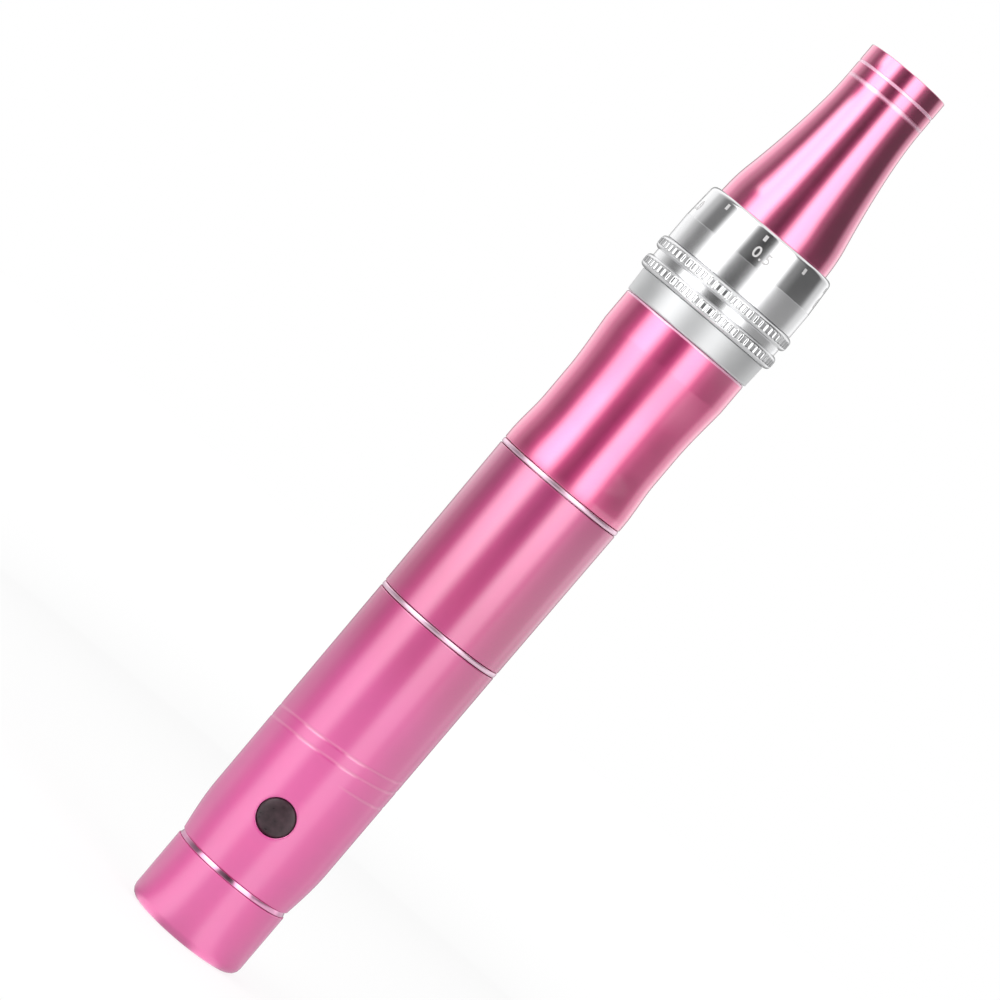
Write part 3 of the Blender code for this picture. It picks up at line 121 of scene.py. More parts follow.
class Graph:
    """The node tree of one material, with short calls for the nodes used here."""

    def __init__(self, name: str) -> None:
        """Starts a material with a Principled shader."""
        self.material = bpy.data.materials.new(name)
        self.material.use_nodes = True
        self.tree = self.material.node_tree
        self.shader = self.tree.nodes["Principled BSDF"]

    def node(
        self, kind: str, values: dict[str | int, Value] | None = None, **settings: object
    ) -> bpy.types.Node:
        """Adds a node.

        Args:
            kind: the node's type, without its ShaderNode prefix.
            values: what goes into its inputs, by their names or numbers.
            settings: properties to set on it.

        Returns:
            The new node.
        """
        made = self.tree.nodes.new("ShaderNode" + kind)
        for key, setting in settings.items():
            setattr(made, key, setting)
        for key, value in (values or {}).items():
            self.feed(made.inputs[key], value)
        return made

    def feed(self, socket: Socket, value: Value) -> None:
        """Links an output to an input, or gives the input a plain value."""
        if isinstance(value, Socket):
            self.tree.links.new(value, socket)
        else:
            socket.default_value = (*value, 1.0) if socket.type == "RGBA" else value

    def set(self, **values: Value) -> None:
        """Feeds the shader's inputs, with _ for the spaces of their names."""
        for key, value in values.items():
            self.feed(self.shader.inputs[key.replace("_", " ")], value)

    def roughen(self, share: Socket, more: float) -> None:
        """Adds a share of an amount to the roughness that the shader already has."""
        before = self.shader.inputs["Roughness"].links[0].from_socket
        self.set(Roughness=self.reckon("MULTIPLY_ADD", share, more, before))

    def noise(self, waves: tuple[float, float, float], detail: float = 2.0) -> Socket:
        """Noise on the piece's own coordinates.

        Args:
            waves: waves per metre along X, Y and Z.
            detail: how many finer waves are added.

        Returns:
            The noise value.
        """
        own = self.node("TexCoord").outputs["Object"]
        scaled = self.node("Mapping", {"Vector": own, "Scale": waves}).outputs["Vector"]
        values = {"Vector": scaled, "Scale": 1.0, "Detail": detail}
        return self.node("TexNoise", values).outputs["Fac"]

    def ranged(self, source: Socket, *ends: float) -> Socket:
        """Runs from one value to another while a source does.

        Args:
            source: the source.
            ends: its low and high end, and the two values there if they aren't 0 and 1.

        Returns:
            The new value.
        """
        names = ("From Min", "From Max", "To Min", "To Max")
        return self.node("MapRange", {"Value": source, **dict(zip(names, ends))}).outputs["Result"]

    def blend(self, share: Socket, first: Colour | Socket, second: Colour) -> Socket:
        """Mixes two colours by a value.

        Args:
            share: 0 gives the first colour and 1 the second.
            first: a linear colour, or the output that gives one.
            second: a linear colour.

        Returns:
            The mixed colour.
        """
        mix = self.node("Mix", data_type="RGBA")
        inputs = {socket.identifier: socket for socket in mix.inputs}
        self.feed(inputs["Factor_Float"], share)
        self.feed(inputs["A_Color"], first)
        self.feed(inputs["B_Color"], second)
        return {socket.identifier: socket for socket in mix.outputs}["Result_Color"]

    def bump(self, height: Socket, depth: float, strength: float) -> None:
        """Raises the surface by a height value, up to a depth in metres."""
        values = {"Height": height, "Distance": depth, "Strength": strength}
        self.set(Normal=self.node("Bump", values).outputs["Normal"])

    def engraved(self) -> Socket:
        """How much of the dye is cut away, as the mesh says it."""
        return self.node("Attribute", attribute_name="engraved").outputs["Fac"]

    def places(self) -> dict[str, Socket]:
        """The piece's own X, Y and Z."""
        own = self.node("TexCoord").outputs["Object"]
        parts = self.node("SeparateXYZ", {0: own})
        return {axis: parts.outputs[axis] for axis in "XYZ"}

    def reckon(self, operation: str, *terms: Socket | float) -> Socket:
        """The outcome of a Math node's operation on numbers or outputs."""
        return self.node("Math", dict(enumerate(terms)), operation=operation).outputs[0]

    def levels(self, source: Socket, stops: Stops) -> Socket:
        """Runs softly from level to level while a value rises.

        Args:
            source: the value.
            stops: places on it in rising order, each with its level from 0 to 1.

        Returns:
            The level at the value.
        """
        low, high = stops[0][0], stops[-1][0]
        ramp = self.node("ValToRGB", {"Fac": self.ranged(source, low, high)})
        ramp.color_ramp.interpolation = "EASE"
        elements = ramp.color_ramp.elements
        for element, (_, level) in zip(elements, (stops[0], stops[-1])):
            element.color = (level, level, level, 1.0)
        for stop, level in stops[1:-1]:
            elements.new((stop - low) / (high - low)).color = (level, level, level, 1.0)
        return ramp.outputs["Color"]

    def by_height(self, stops: Stops) -> Socket:
        """The level at a place's height, from heights with their levels."""
        return self.levels(self.places()["Z"], stops)

    def become(self, surface: Socket) -> bpy.types.Material:
        """Takes another surface than the Principled shader, and gives the material."""
        self.tree.nodes.remove(self.shader)
        self.feed(self.tree.nodes["Material Output"].inputs["Surface"], surface)
        return self.material


@dataclass(frozen=True)
class Finish:
    """A surface finish, with the faint unevenness that every real one has.

    Attributes:
        name: the material's name.
        slot: the record's slot that the finish belongs to.
        colour: its linear colour.
        roughness: its mean roughness.
        metallic: 1 for bare or anodised metal.
        patch_waves: how many patches of slightly other colour lie on a metre.
        shade: how far the colour of a patch is from the mean, as a share.
        wear: how far the roughness of a patch is from the mean.
    """

    name: str
    slot: Slot
    colour: Colour
    roughness: float
    metallic: float = 0.0
    patch_waves: float = 260.0
    shade: float = 0.04
    wear: float = 0.02

    def dress(self, graph: Graph) -> None:
        """Makes the finish's nodes.

        Args:
            graph: the graph of a new material.
        """
        patches = graph.noise((self.patch_waves,) * 3)
        darker = tuple(value * (1 - self.shade) for value in self.colour)
        lighter = tuple(min(value * (1 + self.shade), 1.0) for value in self.colour)
        colour = self.colour_over(graph, graph.blend(patches, darker, lighter))
        rough = (self.roughness - self.wear, self.roughness + self.wear)
        worn = graph.ranged(patches, *USUAL_NOISE, *rough)
        graph.set(Metallic=self.metallic, Base_Color=colour, Roughness=worn)

    def colour_over(self, graph: Graph, colour: Socket) -> Socket:
        """What the finish adds over its plain colour; here nothing."""
        return colour


@dataclass(frozen=True)
class TurnedMetal(Finish):
    """Metal with the fine rings that a lathe leaves.

    Attributes:
        ring_waves: how many rings lie on a metre of the pen's length.
        ring_depth: how deep they are.
        ring_strength: how much they show.
    """

    metallic: float = 1.0
    ring_waves: float = 9000.0
    ring_depth: float = 0.002 * MM
    ring_strength: float = 0.25

    def dress(self, graph: Graph) -> None:
        """Adds the rings to the plain finish."""
        super().dress(graph)
        along = (self.patch_waves / 2, self.patch_waves / 2, self.ring_waves)
        graph.bump(graph.noise(along), self.ring_depth, self.ring_strength)


@dataclass(frozen=True)
class AnodisedMetal(TurnedMetal):
    """Dyed anodising: a clear hard layer over turned and coloured metal.

    Attributes:
        clear_roughness: the roughness of the layer's own surface.
        clear_ior: its index of refraction.
        bare: the colour of lines that are cut through the dye.
        bare_rougher: how much rougher such lines are.
    """

    clear_roughness: float = 0.08
    clear_ior: float = 2.6
    bare: Colour = (1.0, 0.60, 0.78)
    bare_rougher: float = 0.4

    def dress(self, graph: Graph) -> None:
        """Adds the clear layer and roughens the bare lines."""
        super().dress(graph)
        graph.set(Coat_Weight=1.0, Coat_Roughness=self.clear_roughness, Coat_IOR=self.clear_ior)
        graph.roughen(graph.engraved(), self.bare_rougher)

    def colour_over(self, graph: Graph, colour: Socket) -> Socket:
        """Shows bare metal where a mesh says that its surface is engraved."""
        return graph.blend(graph.engraved(), colour, self.bare)


@dataclass(frozen=True)
class BlastedAnodising(AnodisedMetal):
    """Anodising over blasted metal, finer and deeper in colour towards the tip.

    Attributes:
        finer: heights, each with how much less rough the metal is there.
        deeper: the deeper colour.
        deepening: heights, each with how much of the deeper colour there is.
    """

    finer: Stops = ((0.02, 0.0), (0.053, 0.13), (0.079, 0.26))
    deeper: Colour = (0.70, 0.072, 0.28)
    deepening: Stops = ((0.026, 0.0), (0.04, 0.35), (0.05, 0.75), (0.06, 1.0))

    def colour_over(self, graph: Graph, colour: Socket) -> Socket:
        """Deepens the colour and shows bare metal where the mesh is engraved."""
        deepened = graph.blend(graph.by_height(self.deepening), colour, self.deeper)
        return super().colour_over(graph, deepened)

    def dress(self, graph: Graph) -> None:
        """Takes the finer blasting off the plain roughness."""
        super().dress(graph)
        graph.roughen(graph.by_height(self.finer), -1.0)


@dataclass(frozen=True)
class DialChrome(TurnedMetal):
    """Chrome that is duller on the dial's lower zone, where fingers hold it.

    Attributes:
        dull_below: the height under which it is duller.
        dull_roughness: its roughness there.
        fade: how far the two finishes run into each other.
    """

    dull_below: float = 117.1 * MM
    dull_roughness: float = 0.24
    fade: float = 0.1 * MM

    def dress(self, graph: Graph) -> None:
        """Makes the lower zone duller than the plain finish."""
        super().dress(graph)
        stops = ((self.dull_below - self.fade, 1.0), (self.dull_below + self.fade, 0.0))
        graph.roughen(graph.by_height(stops), self.dull_roughness - self.roughness)


@dataclass(frozen=True)
class Moulded(Finish):
    """Moulded plastic or rubber with a fine grain.

    Attributes:
        grain_waves: how many grains lie on a metre.
        grain_detail: how many finer waves they have.
        grain_depth: how deep they are.
        grain_strength: how much they show.
    """

    grain_waves: float = 6000.0
    grain_detail: float = 4.0
    grain_depth: float = 0.004 * MM
    grain_strength: float = 0.3

    def dress(self, graph: Graph) -> None:
        """Adds the grain to the plain finish."""
        super().dress(graph)
        grain = graph.noise((self.grain_waves,) * 3, self.grain_detail)
        graph.bump(grain, self.grain_depth, self.grain_strength)


PINK_NOSE = AnodisedMetal("pink_nose", Slot.PINK, (0.88, 0.085, 0.30), 0.25, clear_ior=2.75)
PINK_POLISHED = AnodisedMetal(
    "pink_polished", Slot.PINK, (0.92, 0.086, 0.32), 0.34, clear_ior=2.4
)
PINK_SATIN = BlastedAnodising(
    "pink_satin", Slot.PINK, (0.90, 0.112, 0.46), 0.68, clear_roughness=0.15, clear_ior=2.35
)
PINK_MIDDLE = replace(PINK_SATIN, name="pink_middle", clear_ior=2.4)
POLISHED = TurnedMetal("polished_aluminium_ring", Slot.POLISHED, (0.96, 0.68, 0.82), 0.3)
TAIL_POLISHED = TurnedMetal("polished_tail_ring", Slot.POLISHED, (0.93, 0.45, 0.68), 0.12)
SATIN = TurnedMetal(
    "satin_aluminium_collar", Slot.SATIN, (0.70, 0.705, 0.71), 0.50, ring_strength=0.5
)
CHROME = TurnedMetal("chrome_plate", Slot.CHROME, (0.82, 0.82, 0.83), 0.22, ring_strength=0.2)
DIAL_CHROME = DialChrome(
    "dial_chrome", Slot.CHROME, (0.82, 0.82, 0.83), 0.13, ring_strength=0.2
)
STEEL = TurnedMetal("machined_steel", Slot.STEEL, (0.56, 0.57, 0.58), 0.25)
BRASS = TurnedMetal("bare_brass", Slot.BRASS, (0.78, 0.57, 0.24), 0.3)
COPPER = TurnedMetal(
    "enamelled_wire", Slot.COPPER, (0.72, 0.30, 0.14), 0.35, ring_waves=4000.0
)
MAGNET = Moulded("dark_ferrite", Slot.MAGNET, (0.04, 0.04, 0.045), 0.5, metallic=0.6)
BOARD = Moulded("green_solder_mask", Slot.BOARD, (0.01, 0.13, 0.04), 0.4, shade=0.25)
CELL_WRAP = Moulded("blue_shrink_wrap", Slot.CELL_WRAP, (0.01, 0.08, 0.34), 0.3)
WIRE = Moulded("red_wire_insulation", Slot.WIRE, (0.5, 0.01, 0.01), 0.4)
RUBBER = Moulded("black_rubber", Slot.RUBBER, (0.012, 0.012, 0.012), 0.6)
WHITE_PLASTIC = Moulded("white_moulding", Slot.WHITE_PLASTIC, (0.78, 0.78, 0.75), 0.4)
BLACK_PLASTIC = Moulded("black_moulding", Slot.BLACK_PLASTIC, (0.012, 0.012, 0.014), 0.35)
BUTTON_PLASTIC = Moulded(
    "mottled_button",
    Slot.BLACK_PLASTIC,
    (0.045, 0.022, 0.029),
    0.36,
    patch_waves=900.0,
    shade=0.95,
    wear=0.1,
    grain_waves=2600.0,
    grain_depth=0.03 * MM,
    grain_strength=0.5,
)
MARK_FILL = Moulded("mark_filling", Slot.SATIN, (0.62, 0.61, 0.61), 0.5)
INNER_FINISHES = (
    SATIN, STEEL, BRASS, COPPER, MAGNET, BOARD, CELL_WRAP, WIRE, WHITE_PLASTIC, BLACK_PLASTIC,
)


@lru_cache(maxsize=None)
def material_of(finish: Finish) -> bpy.types.Material:
    """The material of a finish, made once."""
    graph = Graph(finish.name)
    finish.dress(graph)
    return graph.material


@dataclass(frozen=True)
class Room:
    """The space that a CAD node takes.

    Attributes:
        r: its largest radius.
        low: its lowest height.
        high: its highest height.
    """

    r: float
    low: float
    high: float

    @classmethod
    def of(cls, node: str) -> "Room":
        """The room of the node with that name."""
        low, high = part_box(node)
        return cls(high.x, low.z, high.z)

    @property
    def length(self) -> float:
        """Its length along the pen."""
        return self.high - self.low


@dataclass(frozen=True)
class Corner:
    """A corner of a turned outline.

    Attributes:
        r: its distance from the pen's axis.
        z: its height.
        fillet: how far its rounding starts from it, or 0 for a plain corner.
    """

    r: float
    z: float
    fillet: float = 0.0


def radius_of(radius: Radius, z: float) -> float:
    """The radius at a height, from a plain one or a function of the height."""
    return radius(z) if callable(radius) else radius


def rows(radius: Radius, low: float, high: float, spacing: float) -> list[Corner]:
    """Evenly spaced corners along a stretch of an outline.

    Args:
        radius: the radius, or a function that gives it at a height.
        low: the stretch's first height, which may be the higher one.
        high: its last height.
        spacing: the largest distance between two corners.

    Returns:
        The corners, with those at both ends.
    """
    steps = max(math.ceil(abs(high - low) / spacing - WELD), 1)
    heights = [low + (high - low) * step / steps for step in range(steps + 1)]
    return [Corner(radius_of(radius, height), height) for height in heights]


def notch(r: float, floor_r: float, low: float, high: float, slope: float = 0.0) -> list[Corner]:
    """The corners of a groove round a piece.

    Args:
        r: the radius beside the groove.
        floor_r: the radius of its floor.
        low: its lower end.
        high: its upper end.
        slope: how far each of its walls runs along the pen.

    Returns:
        The corners from low to high.
    """
    floor = [Corner(floor_r, low + slope), Corner(floor_r, high - slope)]
    return [Corner(r, low), *floor, Corner(r, high)]


def eased(start: float, end: float, share: float, rise: float = 0.0) -> float:
    """A value that leaves its start with no slope.

    Args:
        start: the value at the start.
        end: the value at the end.
        share: how far along it is; beyond 0 and 1 the value stays.
        rise: the slope at the end, per whole way.

    Returns:
        The value.
    """
    along = min(max(share, 0.0), 1.0)
    return start + (end - start) * along**2 * (3 - 2 * along) + rise * along**2 * (along - 1)


def spin(bm: BMesh, angle: float, steps: int, **how: bool) -> None:
    """Spins all of a mesh round the pen's axis."""
    everything = bm.verts[:] + bm.edges[:] + bm.faces[:]
    bmesh.ops.spin(
        bm, geom=everything, cent=(0, 0, 0), axis=(0, 0, 1), angle=angle, steps=steps, **how
    )


def turn(outline: list[Corner], sides: int = SHELL_SIDES) -> BMesh:
    """Rounds a closed outline's corners and spins it round the pen's axis.

    One sector is spun and then copied round, which takes less time than a full spin.

    Args:
        outline: its corners; one that starts and ends on the axis makes a solid piece.
        sides: how many steps a full turn takes, a multiple of the sectors.

    Returns:
        The spun mesh.
    """
    bm = bmesh.new()
    corners = [bm.verts.new((corner.r, 0, corner.z)) for corner in outline]
    for pair in zip(corners, corners[1:]):
        bm.edges.new(pair)
    if outline[0].r > 0:
        bm.edges.new((corners[-1], corners[0]))
    for fillet in sorted({corner.fillet for corner in outline if corner.fillet}):
        rounded = [vert for vert, corner in zip(corners, outline) if corner.fillet == fillet]
        bmesh.ops.bevel(
            bm,
            geom=rounded,
            offset=fillet,
            offset_type="OFFSET",
            segments=FILLET_STEPS,
            profile=ROUND_PROFILE,
            affect="VERTICES",
            material=-1,
        )
    sector = math.tau / SECTORS
    spin(bm, sector, sides // SECTORS)
    spin(bm, math.tau - sector, SECTORS - 1, use_duplicate=True)
    bmesh.ops.remove_doubles(bm, verts=bm.verts, dist=WELD)
    return bm


def sink(vert: Vert, share: float) -> None:
    """Moves a corner of a mesh by a share of its way to the pen's axis."""
    vert.co.x *= 1 - share
    vert.co.y *= 1 - share


@dataclass(frozen=True)
class Helix:
    """A groove that winds round the pen and fades out at its ends.

    Attributes:
        angle: where it starts.
        z: the height at which it starts.
        turns: how far it winds.
        lead: how far it climbs in a turn.
        width: its width along the pen.
        depth: its depth.
        fade: the length of its fading ends, in turns.
        bare: how much of the dye is gone where it is deepest.
    """

    angle: float
    z: float
    turns: float
    lead: float
    width: float
    depth: float
    fade: float
    bare: float = 0.0

    @classmethod
    def thread(cls, z: float, length: float, lead: float, depth: float) -> "Helix":
        """A screw thread of that length along the pen, from a height on."""
        width = lead * THREAD_WIDTH_SHARE
        return cls(0, z, length / lead, lead, width, depth, THREAD_FADE)

    def share_at(self, angle: float, z: float) -> float:
        """How much of its depth the groove has at a place.

        Args:
            angle: the place's angle round the pen.
            z: its height.

        Returns:
            A share from 0 to 1.
        """
        wound = ((angle - self.angle) / math.tau) % 1.0
        deepest = 0.0
        while wound <= self.turns:
            off = abs(z - self.z - self.lead * wound)
            if off < self.width / 2:
                ends = min(1.0, wound / self.fade, (self.turns - wound) / self.fade)
                deepest = max(deepest, ends * math.cos(math.pi * off / self.width) ** 2)
            wound += 1.0
        return deepest


def engrave(bm: BMesh, grooves: list[Helix], over: float) -> None:
    """Sinks winding grooves into a turned mesh and marks where they are.

    Args:
        bm: a mesh whose rows are fine where the grooves run.
        grooves: the grooves.
        over: only what is further from the axis than this is cut.
    """
    layer = bm.verts.layers.float.new("engraved")
    low = min(groove.z - groove.width for groove in grooves)
    high = max(groove.z + groove.lead * groove.turns + groove.width for groove in grooves)
    for vert in bm.verts:
        across = math.hypot(vert.co.x, vert.co.y)
        if across < over or not low < vert.co.z < high:
            continue
        angle = math.atan2(vert.co.x, -vert.co.y)
        for groove in grooves:
            share = groove.share_at(angle, vert.co.z)
            if share > 0:
                sink(vert, groove.depth * share / across)
                vert[layer] = max(vert[layer], share * groove.bare)


def strip_dye(bm: BMesh, bands: list[tuple[float, float]]) -> None:
    """Marks a turned mesh as bare metal.

    Args:
        bm: the mesh.
        bands: the lowest and the highest height of each bare band.
    """
    layer = bm.verts.layers.float.new("engraved")
    for vert in bm.verts:
        if any(low - WELD < vert.co.z < high + WELD for low, high in bands):
            vert[layer] = 1.0


def mesh_of(name: str, bm: BMesh) -> bpy.types.Mesh:
    """Makes a named mesh.

    Args:
        name: its name.
        bm: what it is made of, which is used up.

    Returns:
        The mesh.
    """
    mesh = bpy.data.meshes.new(name)
    bm.to_mesh(mesh)
    bm.free()
    return mesh


def put(name: str, data: bpy.types.ID) -> bpy.types.Object:
    """Puts an object with that data into the scene."""
    thing = bpy.data.objects.new(name, data)
    bpy.context.scene.collection.objects.link(thing)
    return thing


def shape_of(carrier: bpy.types.Object) -> BMesh:
    """The shape that an object has in the scene.

    Args:
        carrier: the object, which may have a modifier or be a text.

    Returns:
        Its shape as a new mesh.
    """
    ready = carrier.evaluated_get(bpy.context.evaluated_depsgraph_get())
    bm = bmesh.new()
    bm.from_mesh(ready.to_mesh())
    return bm


def place(name: str, bm: BMesh, body: Body, finish: Finish) -> bpy.types.Object:
    """Makes a finished piece of a mesh.

    Args:
        name: the piece's name.
        bm: the mesh, in its place; it is used up.
        body: what it moves with.
        finish: its finish.

    Returns:
        The piece's object.
    """
    bmesh.ops.recalc_face_normals(bm, faces=bm.faces)
    mesh = mesh_of(name, bm)
    mesh.materials.append(material_of(finish))
    mesh.shade_smooth()
    mesh.set_sharp_from_angle(angle=SHARP_ANGLE)
    piece = put(name, mesh)
    piece.modifiers.new("weighted_normals", "WEIGHTED_NORMAL").keep_sharp = True
    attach(piece, body.value)
    LOG.info("%s: %d faces, moves with %s", name, len(mesh.polygons), body.value)
    return piece


def stand_in(node: str, bm: BMesh, body: Body, finish: Finish) -> bpy.types.Object:
    """Makes the finished piece that takes a CAD node's place, like place otherwise."""
    piece = place("finished_" + node, bm, body, finish)
    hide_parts(node)
    return piece


def carved(bm: BMesh, cutter: BMesh) -> BMesh:
    """Cuts one mesh out of another.

    Args:
        bm: the mesh to cut; it is used up.
        cutter: what is cut out of it; it is used up.

    Returns:
        The mesh that is left.
    """
    carriers = []
    for part in (bm, cutter):
        bmesh.ops.recalc_face_normals(part, faces=part.faces)
        carriers.append(put("carving", mesh_of("carving", part)))
    boolean = carriers[0].modifiers.new("cut", "BOOLEAN")
    boolean.operation = "DIFFERENCE"
    boolean.solver = "EXACT"
    boolean.object = carriers[1]
    left = shape_of(carriers[0])
    for carrier in carriers:
        mesh = carrier.data
        bpy.data.objects.remove(carrier)
        bpy.data.meshes.remove(mesh)
    return left


def block(size: tuple[float, float, float], centre: tuple[float, float, float]) -> BMesh:
    """A plain box.

    Args:
        size: its sizes along X, Y and Z.
        centre: its middle.

    Returns:
        The box.
    """
    bm = bmesh.new()
    matrix = Matrix.Translation(centre) @ Matrix.Diagonal((*size, 1))
    bmesh.ops.create_cube(bm, size=1, matrix=matrix)
    return bm


def o_ring(room: Room) -> BMesh:
    """A rubber ring of round section.

    Args:
        room: the room that it fills.

    Returns:
        The ring.
    """
    section = room.length / 2
    middle_r, middle_z = room.r - section, room.low + section
    steps = 4 * FILLET_STEPS
    angles = [math.tau * step / steps for step in range(steps)]
    outline = [
        Corner(middle_r + section * math.cos(angle), middle_z + section * math.sin(angle))
        for angle in angles
    ]
    return turn(outline, INNER_SIDES)


@dataclass
class Part:
    """The sizes that the pen's turned parts share.

    Attributes:
        rim: the rounding of an edge.
        tube_bore_r: the bore of a tube.
        spigot_r: the radius of what fits into it.
        reach: how far a joint ring goes into it.
    """

    rim: float = 0.12 * MM
    tube_bore_r: float = 8.51 * MM
    spigot_r: float = 8.31 * MM
    reach: float = 3.7 * MM


@dataclass
class TailCap(Part):
    """The screw cap at the tail with its seal, and the polished ring before it."""

    edge: float = 1.4 * MM
    seat: float = 0.04 * MM
    bore_r: float = 6.51 * MM
    floor: float = 1.6 * MM
    lead_in: float = 0.3 * MM
    thread_lead: float = 1.25 * MM
    thread_depth: float = 0.3 * MM
    thread_row: float = 0.07 * MM
    ring_edge: float = 0.1 * MM
    ring_growth: float = 0.15 * MM
    ring_slope: float = 0.2 * MM

    def build(self) -> None:
        """Makes the cap, its seal and the ring, whose face slopes towards the tip."""
        room = Room.of("tail_cap")
        ring = Room.of("tail_ring")
        seal = Room.of("tail_o_ring")
        shoulder = ring.low - self.seat
        low, high = seal.low - self.rim, seal.high + self.rim
        groove_r = seal.r - seal.length - self.rim
        top = room.high - self.lead_in
        outline = [
            Corner(0, room.low),
            Corner(room.r, room.low, self.edge),
            Corner(room.r, shoulder, self.rim),
            Corner(self.spigot_r, shoulder),
            *rows(self.spigot_r, ring.high, low, self.thread_row),
            Corner(groove_r, low),
            Corner(groove_r, high),
            *rows(self.spigot_r, high, top, self.thread_row),
            Corner(self.spigot_r - self.lead_in, room.high),
            Corner(self.bore_r, room.high, self.rim),
            Corner(self.bore_r, self.floor, self.edge / 2),
            Corner(0, self.floor),
        ]
        bm = turn(outline)
        start = ring.high + self.thread_lead / 2
        thread = Helix.thread(start, top - start, self.thread_lead, self.thread_depth)
        engrave(bm, [thread], self.spigot_r - self.rim)
        stand_in("tail_cap", bm, Body.CAP, PINK_SATIN)
        stand_in("tail_o_ring", o_ring(seal), Body.CAP, RUBBER)
        ring_top = ring.high + self.ring_growth
        outline = [
            Corner(self.tube_bore_r, ring.low),
            Corner(ring.r, ring.low, self.ring_edge),
            Corner(ring.r - self.ring_slope, ring_top, self.ring_edge),
            Corner(self.tube_bore_r, ring_top),
        ]
        stand_in("tail_ring", turn(outline), Body.PEN, TAIL_POLISHED)


